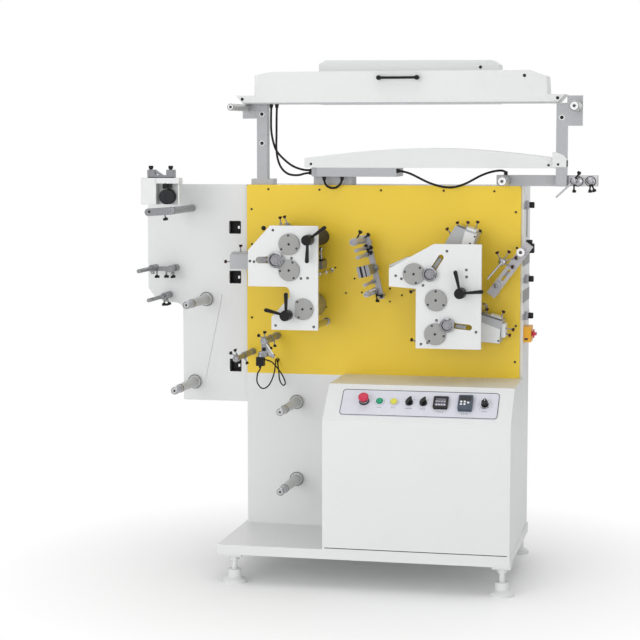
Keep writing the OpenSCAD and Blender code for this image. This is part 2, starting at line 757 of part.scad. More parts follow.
module guide_bar()
    in_frame() color(chrome_tone) {
        on_guide(0) translate([-6, guide_y, -10]) cube([guide_len + 12, guide_t, 20]);
        for (share = [0.02, 0.9]) on_guide(share) rotate([-90, 0, 0]) translate([0, 0, guide_y + 1])
            cylinder(d = 14, h = -guide_y - 1);
        for (pin = [[0.945, 17, 24], [0.81, 14, 11], [0.7, 14, 11], [0.26, 13, 10], [0.11, 14, 18]]) {
            point = beside(pin[0], pin[1]);
            bar(point, web_front, guide_y + 2, pin[2]);
            bar(point, web_front + 20, web_front + 34, pin[2] + 3);
        }
    }

// Edge sensor: block clamped on the guide bar with a knurled screw
module edge_sensor()
    in_frame() color(mid_grey) on_guide(0.48) {
        translate([-17, guide_y - 110, -4]) cube([34, 110, 34]);
        translate([-19, guide_y - 122, -6]) cube([38, 8, 38]);
        translate([-14, guide_y - 115, -1]) cube([28, 6, 28]);
        translate([0, guide_y - 14, -3]) rotate([180, 0, 0]) cylinder(d = 18, h = 16);
    }

// Register arm: slanted slotted arm with a roller stud and a clamp
arm_low = [plate_w - 97, plate_z + 307];
arm_high = [plate_w + 38, plate_z + 489];
arm_run = arm_high - arm_low;
arm_len = norm(arm_run);
arm_angle = atan2(arm_run[1], arm_run[0]);

module register_arm()
    in_frame() color(chrome_tone) difference() {
        union() {
            across(-72, -60) translate(arm_low) rotate(arm_angle) translate([0, -17]) square([arm_len, 34]);
            bar(arm_low + [14, 8], -60, 0, 24);
            bar(arm_low + [55, 74], -60, 0, 16);
            bar(arm_high - [28, 28], -96, -72, 30);
            bar(arm_low + [24, 40], -84, -72, 22);
        }
        across(-73, -59) translate(arm_low) rotate(arm_angle) slot([70, 0], [110, 0], 9);
    }

// Sensor stand: a rod on the yellow plate with clamp blocks and the sensor head
module sensor_stand()
    in_frame() color(dark) translate([left_head_x, 0, plate_z]) {
        bar([54, 140], -208, 0, 22);
        for (y = [-208, -120, -30]) bar([54, 140], y, y + 30, 27);
        translate([44, -206, 84]) cube([20, 20, 58]);
        translate([26, -213, 52]) cube([28, 26, 32]);
        translate([38, -209, 80]) cube([12, 18, 16]);
        bar([-38, 80], -250, 0, 18);
        for (y = [-250, -140, -24]) bar([-38, 80], y, y + 24, 24);
        bar([-38, 80], -110, -60, 22);
    }

// Bore for a spindle's shaft
module spindle_bore(point, face_y) bar(point, face_y - 1, face_y + 40, spindle_shaft_d + 2 * run_gap);

// Flanged bearings that carry the four spindles
module spindle_flange(point, face_y) turned(point, face_y) polygon([
    [spindle_shaft_d / 2 + run_gap, 0], [flange_d / 2, 0], [flange_d / 2, 6], [sleeve_d / 2 + 2, 8],
    [sleeve_d / 2, flange_t], [spindle_shaft_d / 2 + run_gap, flange_t]
]);

module spindle_flanges()
    in_frame() color(mid_grey) {
        spindle_flange([wing_spindle_x, wing_up_spindle_z], wing_face);
        spindle_flange([wing_low_spindle_x, wing_low_spindle_z], wing_face);
        for (z = [upper_spindle_z, lower_spindle_z]) spindle_flange([spindle_x, z], 0);
    }

// Spindle: shaft in its bearing, tapered sleeve and stepped bright end with a centre hole
module spindle(point, face_y, length, tail)
    in_frame() color(chrome_tone) {
        r = sleeve_d / 2;
        shaft_r = spindle_shaft_d / 2;
        start = flange_t + free_gap;
        turned(point, face_y) polygon([
            [0, -tail], [shaft_r, -tail], [shaft_r, start], [r - 1, start], [r, start + 2],
            [r - 3, length * 0.76], [r - 5, length * 0.78], [r - 5, length * 0.86], [r - 7, length * 0.87],
            [r - 7, length - 2], [r - 9, length], [4, length], [4, length - 18], [0, length - 18]
        ]);
    }

module wing_spindle_upper() spindle([wing_spindle_x, wing_up_spindle_z], wing_face, wing_spindle_l, 34);
module wing_spindle_lower() spindle([wing_low_spindle_x, wing_low_spindle_z], wing_face, wing_spindle_l, 34);
module body_spindle_upper() spindle([spindle_x, upper_spindle_z], 0, body_spindle_l, 34);
module body_spindle_lower() spindle([spindle_x, lower_spindle_z], 0, body_spindle_l, 34);

// Guide roller: shaft in its bracket and a smooth barrel in front
module guide_roller(point, face_y, d, length, tail)
    in_frame() color(chrome_tone) turned(point, face_y) polygon([
        [0, -tail], [roller_shaft_d / 2, -tail], [roller_shaft_d / 2, free_gap], [d / 2 - 2, free_gap],
        [d / 2, free_gap + 2], [d / 2, length - 2], [d / 2 - 2, length], [5, length], [5, length - 4],
        [0, length - 4]
    ]);

module roller_bore(point, y_front, y_back) bar(point, y_front - 1, y_back + 1, roller_shaft_d + 2 * run_gap);

module left_top_roller() guide_roller([left_roller_x, left_roller_z], left_post_y, left_roller_d, 250, 8);
module right_top_roller() guide_roller([right_roller_x, right_roller_z], -post_d, right_roller_d, 150, 8);
module beam_roller() guide_roller([beam_roller_x, beam_roller_z], 0, right_roller_d, 126, beam_t);

// Left post on its foot plate, with the tab that carries a guide roller
module left_post()
    in_frame() color(mid_grey) difference() {
        union() {
            translate([left_post_x, left_post_y, top_z]) cube([post_w, post_d, post_h]);
            translate([left_post_x - 21, left_post_y, top_z]) cube([post_w + 43, post_d + 20, 21]);
            translate([left_post_x - 53, left_post_y, hood_z - 52]) cube([54, 8, 52]);
        }
        roller_bore([left_roller_x, left_roller_z], left_post_y, left_post_y + 8);
        for (z = [60, 175, 255]) bar([left_post_x + post_w / 2, top_z + z], left_post_y - 1, left_post_y + 10, 9);
    }

// Right post on the beam's face, with a tab for the right guide roller
module right_post()
    in_frame() color(mid_grey) difference() {
        union() {
            translate([right_post_x, -post_d, top_z]) cube([post_w, post_d, post_h]);
            translate([right_post_x + post_w - 1, -post_d, hood_z - 80]) cube([54, 10, 105]);
        }
        roller_bore([right_roller_x, right_roller_z], -post_d, 10 - post_d);
        for (z = [80, 240]) bar([right_post_x + post_w / 2, top_z + z], -post_d - 1, 10 - post_d, 9);
    }

// Beam on the body's top that runs out to the right, with two rod clamps
module cross_beam()
    in_frame() color(mid_grey) difference() {
        union() {
            translate([beam_x1, 0, top_z]) cube([beam_x2 - beam_x1, beam_t, beam_h]);
            for (x = [plate_w + 178 + 22, plate_w + 244]) bar([x, top_z + 18], -24, 0, 36);
        }
        roller_bore([beam_roller_x, beam_roller_z], 0, beam_t);
    }

// Front hood: folded cover with sloping ends and a wider lower rim
module front_hood() {
    x1 = left_post_x - 64;
    x2 = right_post_x + 30;
    rim = 30;
    outline = [
        [x1 + 28, 0], [x2 - 28, 0], [x2, rim], [x2 - 62, rim], [x2 - 66, hood_h - 20], [x2 - 122, hood_h],
        [x1 + 134, hood_h], [x1 + 72, hood_h - 12], [x1 + 70, rim], [x1, rim]
    ];
    in_frame() color(light_grey) translate([0, 0, hood_z]) across(-post_d - 6, hood_d - post_d) polygon(outline);
}

// Rear hood: shallower cover behind the front one
module rear_hood() {
    wide = rear_hood_x2 - rear_hood_x1;
    outline = [
        [0, 0], [wide, 0], [wide, rear_hood_h - 20], [wide - 24, rear_hood_h - 4], [24, rear_hood_h],
        [0, rear_hood_h - 14]
    ];
    in_frame() color(light_grey) translate([rear_hood_x1, 0, hood_z])
        across(hood_d - post_d, hood_d - post_d + rear_hood_d) polygon(outline);
}

// Lower hood: cover with an arched top over the web path
module lower_hood() {
    span = lower_hood_x2 - lower_hood_x1;
    arch = [for (i = [0:16]) [span * i / 16, 34 + 36 * sin(180 * i / 16)]];
    in_frame() color(light_grey) translate([lower_hood_x1, 0, lower_hood_z])
        across(tray_front, lower_hood_d) polygon(concat([[span, 0], [0, 0]], arch));
}

// Pull handle on the front hood
handle_x = (left_post_x + right_post_x + post_w) / 2 - 31;
module hood_handle()
    in_frame() color(dark) translate([handle_x, -post_d - 6, hood_z + 90]) rotate([90, 0, 0]) {
        for (x = [-68, 68]) translate([x, 0, 0]) {
            cylinder(d = 13, h = 18);
            translate([0, 0, 17]) cylinder(d = 17, h = 10);
        }
        translate([-68, -4.5, 18]) cube([136, 9, 8]);
    }

// Junction tray on its bracket, with a gland block for the cables
module junction_tray()
    in_frame() color(mid_grey) {
        translate([tray_x1, tray_front, tray_z]) cube([tray_x2 - tray_x1, 150, tray_h]);
        translate([tray_x1 - 22, -14, tray_z]) cube([24, 50, tray_h]);
        translate([tray_x1 - 20, plate_t, top_z]) cube([140, 90, tray_z - top_z + 1]);
    }

// Unit at the wing's top left: a bracket with a hanging rubber roller and a clamped strap on top
module infeed_unit()
    in_frame() color(light_grey) {
        translate([infeed_x1, infeed_front, infeed_z1]) cube([56, wing_face - infeed_front, 95]);
        translate([infeed_x1, infeed_front, infeed_z2 - 20]) cube([infeed_x2 - infeed_x1, wing_face - infeed_front, 20]);
        bar([-235, infeed_z1 + 28], infeed_front + 4, wing_face, 54);
        translate([-248, infeed_front + 4, infeed_z1 + 28]) cube([26, 120, 60]);
        translate([infeed_x1 + 24, infeed_front + 6, infeed_z2 - 1]) cube([94, 34, 7]);
        translate([infeed_x1 + 22, infeed_front + 8, infeed_z2 + 5]) cube([98, 28, 11]);
        for (x = [infeed_x1 + 22, infeed_x1 + 92])
            translate([x, infeed_front + 6, infeed_z2 + 15]) cube([28, 30, 14]);
    }

// Rods on the wing with their clamps, and the roller stud with its flat arm below the infeed unit
module clamp_rods()
    in_frame() color(chrome_tone) {
        rod_z = infeed_z1 - 241;
        low_rod_z = infeed_z1 - 342;
        bar([-275, rod_z], -64, wing_face, 18);
        bar([-275, rod_z], -20, wing_face, 26);
        bar([-275, rod_z], -62, -36, 26);
        translate([-350, -60, rod_z - 8]) cube([80, 20, 16]);
        bar([-338, rod_z + 3], -88, -30, 26);
        bar([-338, rod_z + 3], -240, -80, 15);
        bar([-302, low_rod_z], -54, wing_face, 26);
        bar([-302, low_rod_z], -240, -50, 14);
        bar([-212, infeed_z1 - 21], infeed_front, wing_face, 26);
        across(infeed_front - 8, infeed_front + 1) slot([-298, infeed_z1 - 27], [-212, infeed_z1 - 21], 27);
    }

// Isolator box on the body's right side
module isolator_box()
    in_frame() color("gold") difference() {
        translate([body_x2, isolator_y - isolator_w / 2, isolator_z - isolator_h / 2])
            cube([isolator_t, isolator_w, isolator_h]);
        translate([body_x2 + 6, isolator_y, isolator_z]) rotate([0, 90, 0])
            cylinder(d = stem_bore_d, h = isolator_t);
    }

// Isolator knob: a red grip that turns a quarter
module isolator_knob()
    in_frame() color("red") translate([body_x2 + 8, isolator_y, isolator_z]) rotate([0, 90, 0]) {
        cylinder(d = stem_d, h = isolator_t - 8 + free_gap);
        translate([0, 0, isolator_t - 8 + free_gap - 1]) cylinder(d = 32, h = 4);
        translate([-5, -15, isolator_t - 8 + free_gap + 2]) cube([10, 30, 9]);
    }

// Side latches: chrome clasp with a black thumb knob
module side_latches()
    in_frame() color(chrome_tone) for (z = [top_z - 69, plate_z + 357, plate_z + 225])
        translate([body_x2, 70, z]) {
            translate([0, -14, -16]) cube([12, 28, 32]);
            translate([12, 0, 0]) rotate([0, 90, 0]) cylinder(d = 20, h = 14);
        }

module lamp_cable() in_frame() color(dark) cable(lamp_route, cable_d);
module power_cable() in_frame() color(dark) cable(power_route, cable_d);
module loop_cable() in_frame() color(dark) cable(loop_route, cable_d);
module outfeed_cable() in_frame() color(dark) cable(outfeed_route, cable_d);
module fibre_cable() in_frame() color(dark) cable(fibre_route, fibre_d, [1, 0, 0]);
module fibre_return_cable() in_frame() color(dark) cable(fibre_return_route, fibre_d, [0, 0, 1]);

base_tray();
levelling_feet();
body_shell();
gear_cover();
front_plate();
wing_plate();
wing_cover();
wing_latches();
console_housing();
console_panel();
emergency_stop();
start_button();
stop_button();
selector_left();
selector_right();
meter_counter();
timer_display();
speed_knob();
left_head_plate();
right_head_plate();
head_stays();
head_rollers();
bearing_caps();
pressure_rings();
left_ink_box();
right_ink_boxes();
upper_left_lever();
lower_left_lever();
right_lever();
guide_bar();
edge_sensor();
register_arm();
sensor_stand();
wing_spindle_upper();
wing_spindle_lower();
body_spindle_upper();
body_spindle_lower();
spindle_flanges();
left_post();
right_post();
cross_beam();
front_hood();
rear_hood();
lower_hood();
hood_handle();
junction_tray();
left_top_roller();
right_top_roller();
beam_roller();
infeed_unit();
clamp_rods();
isolator_box();
isolator_knob();
side_latches();
lamp_cable();
power_cable();
loop_cable();
outfeed_cable();
fibre_cable();
fibre_return_cable();
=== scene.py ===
"""Looks of a narrow-web flexographic label press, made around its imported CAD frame."""

from __future__ import annotations

import json
import logging
import math
from dataclasses import dataclass
from enum import Enum

import bmesh
import bpy
from mathutils import Matrix, Vector

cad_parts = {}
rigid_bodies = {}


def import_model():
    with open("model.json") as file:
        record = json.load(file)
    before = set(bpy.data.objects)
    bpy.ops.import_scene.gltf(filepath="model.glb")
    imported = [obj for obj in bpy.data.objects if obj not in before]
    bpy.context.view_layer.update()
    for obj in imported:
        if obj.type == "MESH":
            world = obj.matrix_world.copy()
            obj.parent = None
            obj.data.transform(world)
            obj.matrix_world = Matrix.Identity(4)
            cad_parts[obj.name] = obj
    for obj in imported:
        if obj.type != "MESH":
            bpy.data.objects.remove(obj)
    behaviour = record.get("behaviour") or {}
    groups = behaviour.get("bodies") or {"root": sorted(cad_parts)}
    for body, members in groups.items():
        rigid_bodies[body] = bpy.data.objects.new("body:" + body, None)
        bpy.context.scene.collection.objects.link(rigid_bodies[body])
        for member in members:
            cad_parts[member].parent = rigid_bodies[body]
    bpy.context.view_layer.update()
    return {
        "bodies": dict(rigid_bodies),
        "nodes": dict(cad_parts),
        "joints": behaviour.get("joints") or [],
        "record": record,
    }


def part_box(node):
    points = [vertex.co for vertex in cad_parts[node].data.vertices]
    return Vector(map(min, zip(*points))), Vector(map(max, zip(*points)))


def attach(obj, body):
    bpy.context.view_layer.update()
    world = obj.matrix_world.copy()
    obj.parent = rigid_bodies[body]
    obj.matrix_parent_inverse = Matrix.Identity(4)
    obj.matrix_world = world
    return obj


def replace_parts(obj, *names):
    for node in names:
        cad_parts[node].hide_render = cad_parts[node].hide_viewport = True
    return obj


LOG = logging.getLogger("press")
MM = 0.001
FRONT = Vector((0.0, -1.0, 0.0))
RIGHT = Vector((1.0, 0.0, 0.0))
UP = Vector((0.0, 0.0, 1.0))

Point = tuple[float, float, float]
Pair = tuple[float, float]


def tone(code: str) -> tuple[float, float, float, float]:
    """Turns a screen colour such as "dadbdb" into the linear colour that a shader takes.

    Args:
        code: Six hexadecimal digits.

    Returns:
        Red, green, blue and alpha.
    """
    parts = [int(code[i : i + 2], 16) / 255 for i in (0, 2, 4)]
    linear = [c / 12.92 if c <= 0.04045 else ((c + 0.055) / 1.055) ** 2.4 for c in parts]
    return (linear[0], linear[1], linear[2], 1.0)


class Body(Enum):
    """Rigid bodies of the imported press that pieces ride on."""

    PRESS = "press"
    WING_UPPER = "upper wing spindle"
    WING_LOWER = "lower wing spindle"
    BODY_UPPER = "upper body spindle"
    BODY_LOWER = "lower body spindle"
    SPEED = "speed knob"


class Wire:
    """A shader socket that takes part in sums and products."""

    def __init__(self, nodes: Nodes, socket: bpy.types.NodeSocket) -> None:
        """Keeps the socket with the tree that its Math nodes go into."""
        self.nodes = nodes
        self.socket = socket

    def _math(self, operation: str, first: Wire | float, second: Wire | float) -> Wire:
        """Adds one Math node and returns its result."""
        return self.nodes.node("ShaderNodeMath", {"operation": operation}, {0: first, 1: second})

    def __add__(self, other: Wire | float) -> Wire:
        """Sum with a number or another socket."""
        return self._math("ADD", self, other)

    __radd__ = __add__

    def __sub__(self, other: Wire | float) -> Wire:
        """Difference, this socket first."""
        return self._math("SUBTRACT", self, other)

    def __rsub__(self, other: Wire | float) -> Wire:
        """Difference, this socket last."""
        return self._math("SUBTRACT", other, self)

    def __mul__(self, other: Wire | float) -> Wire:
        """Product with a number or another socket."""
        return self._math("MULTIPLY", self, other)

    __rmul__ = __mul__


class Nodes:
    """A tree of shader nodes and the one method that adds to it."""

    def __init__(self, tree: bpy.types.NodeTree) -> None:
        """Keeps the tree."""
        self.tree = tree

    def node(
        self, kind: str, settings: dict[str, object], inputs: dict[object, object], output: int | str = 0
    ) -> Wire:
        """Makes a node, sets it up and wires it.

        Args:
            kind: Blender's type name of the node.
            settings: Properties of the node, which are set first.
            inputs: Values or wires by the name or number of the socket.
            output: Name or number of the socket that is returned.

        Returns:
            The chosen output.
        """
        made = self.tree.nodes.new(kind)
        for key, value in settings.items():
            setattr(made, key, value)
        for key, value in inputs.items():
            self.plug(made.inputs[key], value)
        return Wire(self, made.outputs[output])

    def plug(self, socket: bpy.types.NodeSocket, value: object) -> None:
        """Links a wire to a socket, or sets the socket's own value.

        Args:
            socket: Input of a node.
            value: Wire, number or colour.
        """
        if isinstance(value, Wire):
            self.tree.links.new(value.socket, socket)
        else:
            socket.default_value = value


class Shader(Nodes):
    """One material and the nodes that make it."""

    def __init__(self, name: str) -> None:
        """Starts a material with a Principled shader."""
        self.material = bpy.data.materials.new(name)
        self.material.use_nodes = True
        super().__init__(self.material.node_tree)
        self.principled = self.tree.nodes["Principled BSDF"]

    def place(self, stretch: Point = (1.0, 1.0, 1.0)) -> Wire:
        """Object coordinates in metres, stretched along the axes."""
        spot = self.node("ShaderNodeTexCoord", {}, {}, "Object")
        return self.node("ShaderNodeMapping", {}, {"Vector": spot, "Scale": stretch})

    def noise(self, scale: float, stretch: Point = (1.0, 1.0, 1.0), detail: float = 3.0) -> Wire:
        """Soft noise from 0 to 1, with its scale in spots a metre."""
        inputs = {"Vector": self.place(stretch), "Scale": scale, "Detail": detail}
        return self.node("ShaderNodeTexNoise", {}, inputs, 0)

    def mix(self, amount: Wire | float, first: object, second: object) -> Wire:
        """Mixes two colours."""
        return self.node("ShaderNodeMix", {"data_type": "RGBA"}, {0: amount, 6: first, 7: second}, 2)

    def bump(self, height: Wire, strength: float, depth: float) -> None:
        """Feeds a height to the surface's normal."""
        inputs = {"Height": height, "Strength": strength, "Distance": depth}
        self.set("Normal", self.node("ShaderNodeBump", {}, inputs))

    def set(self, socket: str, value: object) -> None:
        """Sets or wires a socket of the Principled shader."""
        self.plug(self.principled.inputs[socket], value)


class Sky(Nodes):
    """The world and the nodes that light it."""

    def __init__(self, name: str) -> None:
        """Starts a world with a plain Background node."""
        self.world = bpy.data.worlds.new(name)
        self.world.use_nodes = True
        super().__init__(self.world.node_tree)
        self.back = self.tree.nodes["Background"]


@dataclass(frozen=True)
class Enamel:
    """Sprayed machine enamel with a fine orange peel."""

    name: str
    colour: str
    shade: str
    roughness: float = 0.36
    coat: float = 0.12

    def build(self) -> bpy.types.Material:
        """Makes the enamel's material.

        Returns:
            The material.
        """
        shader = Shader(self.name)
        broad = shader.noise(2.3, detail=2.0)
        fine = shader.noise(34.0)
        amount = broad * 0.55 + fine * 0.25
        shader.set("Base Color", shader.mix(amount, tone(self.colour), tone(self.shade)))
        shader.set("Roughness", fine * 0.12 + (self.roughness - 0.06))
        shader.set("Coat Weight", self.coat)
        shader.set("Coat Roughness", 0.22)
        shader.bump(shader.noise(620.0, detail=1.0), 0.10, 0.0004)
        return shader.material


@dataclass(frozen=True)
class Metal:
    """Bare metal with tool marks along one direction and a few smudges."""

    name: str
    colour: str
    shade: str
    roughness: float
    marks: Point = (1.0, 1.0, 1.0)
    mark_depth: float = 0.08
    metallic: float = 1.0

    def build(self) -> bpy.types.Material:
        """Makes the metal's material.

        Returns:
            The material.
        """
        shader = Shader(self.name)
        marks = shader.noise(260.0, self.marks)
        smudge = shader.noise(26.0)
        shader.set("Base Color", shader.mix(marks * 0.7 + smudge * 0.3, tone(self.colour), tone(self.shade)))
        shader.set("Metallic", self.metallic)
        shader.set("Roughness", marks * 0.10 + smudge * 0.12 + (self.roughness - 0.10))
        shader.bump(marks, self.mark_depth, 0.0003)
        return shader.material


@dataclass(frozen=True)
class Moulding:
    """Moulded plastic or rubber with a fine grain."""

    name: str
    colour: str
    shade: str
    roughness: float
    grain: float = 900.0
    grain_depth: float = 0.10

    def build(self) -> bpy.types.Material:
        """Makes the moulding's material.

        Returns:
            The material.
        """
        shader = Shader(self.name)
        cloud = shader.noise(48.0)
        shader.set("Base Color", shader.mix(cloud, tone(self.colour), tone(self.shade)))
        shader.set("Roughness", cloud * 0.14 + (self.roughness - 0.07))
        shader.set("Specular IOR Level", 0.28)
        shader.bump(shader.noise(self.grain, detail=1.0), self.grain_depth, 0.0003)
        return shader.material


class Finish(Enum):
    """Every finish on the press."""

    LIGHT = Enamel("light_enamel", "dfe0e0", "d4d6d6")
    GREY = Enamel("grey_enamel", "b0b1b4", "a3a4a7")
    VENT = Enamel("vent_enamel", "8f908d", "82837f", 0.5, 0.0)
    CAP = Enamel("cap_enamel", "9d9d9b", "8e8e8d", 0.40, 0.08)
    YELLOW = Enamel("yellow_enamel", "e9c936", "e2be2c", 0.36, 0.06)
    FOIL = Moulding("panel_foil", "d9dae2", "cfd0da", 0.42, 1400.0, 0.05)
    GUNMETAL = Metal("gunmetal", "6c6c6e", "4c4c4f", 0.36)
    STEEL = Metal("ground_steel", "a2a3a5", "808285", 0.36, (1.0, 0.12, 1.0), 0.05, 0.7)
    CHROME = Metal("bright_chrome", "bcbcc0", "98989d", 0.18, (0.2, 0.2, 0.2), 0.0, 0.95)
    ZINC = Metal("zinc_plate", "a3a4a8", "86878b", 0.36, (1.0, 1.0, 1.0), 0.08, 0.85)
    ALUMINIUM = Metal("turned_aluminium", "cfcfce", "adaead", 0.32, (1.0, 4.0, 1.0), 0.04, 0.6)
    RUBBER = Moulding("dark_rubber", "2f3033", "232427", 0.66)
    BLACK = Moulding("black_plastic", "181617", "0d0b0c", 0.38)
    KNOB = Moulding("dark_red_knob", "421419", "210a0d", 0.34)
    RED = Moulding("red_plastic", "d0405a", "bd3049", 0.30, 500.0, 0.03)
    GREEN = Moulding("green_plastic", "1f9e74", "158a63", 0.28, 500.0, 0.03)
    AMBER = Moulding("yellow_plastic", "ddd857", "d2cb42", 0.28, 500.0, 0.03)
    ORANGE = Moulding("isolator_yellow", "eeb33a", "e6a52a", 0.40, 500.0, 0.03)
    SLATE = Moulding("timer_slate", "4a5463", "3f4856", 0.42)
    WINDOW = Moulding("display_window", "8d8b99", "75737f", 0.22, 300.0, 0.02)
    WHITE = Moulding("white_plastic", "f0f0f0", "e4e4e6", 0.36, 500.0, 0.03)
    DARK = Moulding("shadow_gap", "3c3d40", "2d2e31", 0.60)
    CABLE = Moulding("cable_sheath", "141414", "0c0c0c", 0.46, 700.0, 0.12)
    SATIN = Metal("satin_plate", "bcbabd", "a6a4a8", 0.42, (1.0, 1.0, 1.0), 0.05, 0.25)

    @property
    def slot(self) -> str:
        """Material slot of the record that the finish belongs to."""
        return SLOTS.get(self.name, "black_plastic")


SLOTS = {
    "LIGHT": "light_paint", "GREY": "grey_paint", "VENT": "grey_paint", "CAP": "grey_paint",
    "YELLOW": "yellow_paint", "FOIL": "panel_foil", "GUNMETAL": "steel", "STEEL": "steel", "SATIN": "steel",
    "CHROME": "chrome", "ZINC": "zinc", "ALUMINIUM": "aluminium", "RUBBER": "rubber", "RED": "red_plastic",
    "GREEN": "green_plastic", "AMBER": "yellow_plastic", "WHITE": "light_paint", "CABLE": "cable",
}


class Paints:
    """Materials that have been made, one for each finish."""

    made: dict[Finish, bpy.types.Material] = {}

    @classmethod
    def get(cls, finish: Finish) -> bpy.types.Material:
        """Gives the finish's material, and makes it the first time.

        Args:
            finish: One of the press's finishes.

        Returns:
            Its material.
        """
        if finish not in cls.made:
            cls.made[finish] = finish.value.build()
        return cls.made[finish]


class Drawing:
    """The machine's drawing: millimetres from the yellow plate's left edge, its face and the floor."""

    corner = Vector((0.0, 0.0, 0.0))

    @classmethod
    def open(cls) -> None:
        """Finds the drawing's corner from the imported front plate."""
        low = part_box("front_plate")[0]
        cls.corner = Vector((low.x, low.y, 0.0))


def at(x: float, y: float, z: float) -> Vector:
    """Turns a place in the drawing into metres in the frame."""
    return Drawing.corner + Vector((x, y, z)) * MM


class Shape:
    """A mesh that is made from turned, pressed and bent pieces, all with one finish."""

    def __init__(self, name: str) -> None:
        """Starts an empty mesh."""
        self.name = name
        self.mesh = bmesh.new()

    def turn(self, spot: Vector, axis: Vector, outline: list[Pair], steps: int = 32) -> Shape:
        """Adds a revolved piece.

        Args:
            spot: Where the axis starts, in metres.
            axis: Direction of the axis.
            outline: Radius and distance along the axis, in millimetres.
            steps: Number of faces around.

        Returns:
            This shape.
        """
        spin = axis.normalized().to_track_quat("Z", "Y").to_matrix().to_4x4()
        frame = Matrix.Translation(spot) @ spin
        rings = []
        for radius, along in outline:
            if radius < 1e-6:
                rings.append([self.mesh.verts.new(frame @ Vector((0, 0, along * MM)))])
                continue
            ring = []
            for step in range(steps):
                turn = 2 * math.pi * step / steps
                spot_on = Vector((radius * math.cos(turn), radius * math.sin(turn), along)) * MM
                ring.append(self.mesh.verts.new(frame @ spot_on))
            rings.append(ring)
        for first, second in zip(rings, rings[1:]):
            self._band(first, second)
        return self

    def _band(self, first: list[bmesh.types.BMVert], second: list[bmesh.types.BMVert]) -> None:
        """Joins two rings, either of which may be a single point.

        Args:
            first: Points of the one ring, in order.
            second: Points of the other.
        """
        count = max(len(first), len(second))
        for step in range(count):
            after = (step + 1) % count
            corners = [first[step % len(first)]]
            if len(first) > 1:
                corners.append(first[after])
            if len(second) > 1:
                corners += [second[after], second[step]]
            else:
                corners.append(second[0])
            if len(corners) > 2:
                self.mesh.faces.new(corners)

    def press(self, frame: Matrix, outline: list[Pair], height: float, edge: float = 0.0) -> Shape:
        """Adds a plate with a flat outline and softened edges.

        Args:
            frame: Where the outline's plane lies; its Z axis is the plate's thickness.
            outline: Corners in millimetres, in order.
            height: Thickness in millimetres.
            edge: Width of the softened edge in millimetres.

        Returns:
            This shape.
        """
        low = [self.mesh.verts.new(frame @ (Vector((x, y, 0)) * MM)) for x, y in outline]
        high = [self.mesh.verts.new(frame @ (Vector((x, y, height)) * MM)) for x, y in outline]
        faces = [self.mesh.faces.new(list(reversed(low))), self.mesh.faces.new(high)]
        for i in range(len(outline)):
            j = (i + 1) % len(outline)
            faces.append(self.mesh.faces.new([low[i], low[j], high[j], high[i]]))
        if edge:
            edges = list(dict.fromkeys(e for f in faces for e in f.edges))
            bmesh.ops.bevel(self.mesh, geom=edges, offset=edge * MM, segments=2, affect="EDGES")
        return self

    def block(self, low: Vector, high: Vector, edge: float = 1.0) -> Shape:
        """Adds a block with softened edges.

        Args:
            low: Lowest corner in metres.
            high: Highest corner.
            edge: Width of the softened edge in millimetres.

        Returns:
            This shape.
        """
        size = (high - low) / MM
        outline = [(0, 0), (size.x, 0), (size.x, size.y), (0, size.y)]
        return self.press(Matrix.Translation(low), outline, size.z, edge)

    def rod(self, start: Vector, end: Vector, radius: float, steps: int = 20) -> Shape:
        """Adds a round rod with slightly broken ends.

        Args:
            start: One end in metres.
            end: The other end.
            radius: Radius in millimetres.
            steps: Number of faces around.

        Returns:
            This shape.
        """
        length = (end - start).length / MM
        soft = min(0.8, radius * 0.3)
        half = [(0, 0), (radius - soft, 0), (radius, soft)]
        outline = [*half, *((reach, length - along) for reach, along in reversed(half))]
        return self.turn(start, end - start, outline, steps)

    def tube(self, route: list[Vector], radius: float, steps: int = 12) -> Shape:
        """Adds a tube along a route.

        Args:
            route: Points of the tube's middle, in metres.
            radius: Radius in millimetres.
            steps: Number of faces around.

        Returns:
            This shape.
        """
        side = Vector((0.0, 1.0, 0.0))
        rings = []
        for i, spot in enumerate(route):
            ahead = (route[min(i + 1, len(route) - 1)] - route[max(i - 1, 0)]).normalized()
            side = (side - ahead * side.dot(ahead)).normalized()
            other = ahead.cross(side)
            ring = []
            for step in range(steps):
                turn = 2 * math.pi * step / steps
                offset = (side * math.cos(turn) + other * math.sin(turn)) * radius * MM
                ring.append(self.mesh.verts.new(spot + offset))
            rings.append(ring)
        for first, second in zip(rings, rings[1:]):
            self._band(first, second)
        self.mesh.faces.new(list(reversed(rings[0])))
        self.mesh.faces.new(rings[-1])
        return self

    def rim(self, frame: Matrix, outer: list[Pair], inner: list[Pair], height: float) -> Shape:
        """Adds a flat rim between two outlines with the same number of corners.

        Args:
            frame: Where the rim's plane lies.
            outer: Outline of the outside in millimetres.
            inner: Outline of the opening.
            height: Thickness in millimetres.

        Returns:
            This shape.
        """
        rings = []
        for outline, level in ((outer, 0.0), (outer, height), (inner, height), (inner, 0.0)):
            rings.append([self.mesh.verts.new(frame @ (Vector((x, y, level)) * MM)) for x, y in outline])
        for first, second in zip(rings, rings[1:]):
            self._band(first, second)
        return self

    def done(self, finish: Finish, body: Body = Body.PRESS, smooth: float = 35.0) -> bpy.types.Object:
        """Turns the shape into an object that rides on a body.

        Args:
            finish: Finish of the whole shape.
            body: Body that it rides on.
            smooth: Edges flatter than this, in degrees, are shaded smooth.

        Returns:
            The new object.
        """
        bmesh.ops.recalc_face_normals(self.mesh, faces=self.mesh.faces)
        data = bpy.data.meshes.new(self.name)
        self.mesh.to_mesh(data)
        self.mesh.free()
        data.polygons.foreach_set("use_smooth", [True] * len(data.polygons))
        data.set_sharp_from_angle(angle=math.radians(smooth))
        data.materials.append(Paints.get(finish))
        made = bpy.data.objects.new(self.name, data)
        bpy.context.scene.collection.objects.link(made)
        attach(made, body.value)
        finish.slot
        LOG.info("%s: %d faces", self.name, len(data.polygons))
        return made


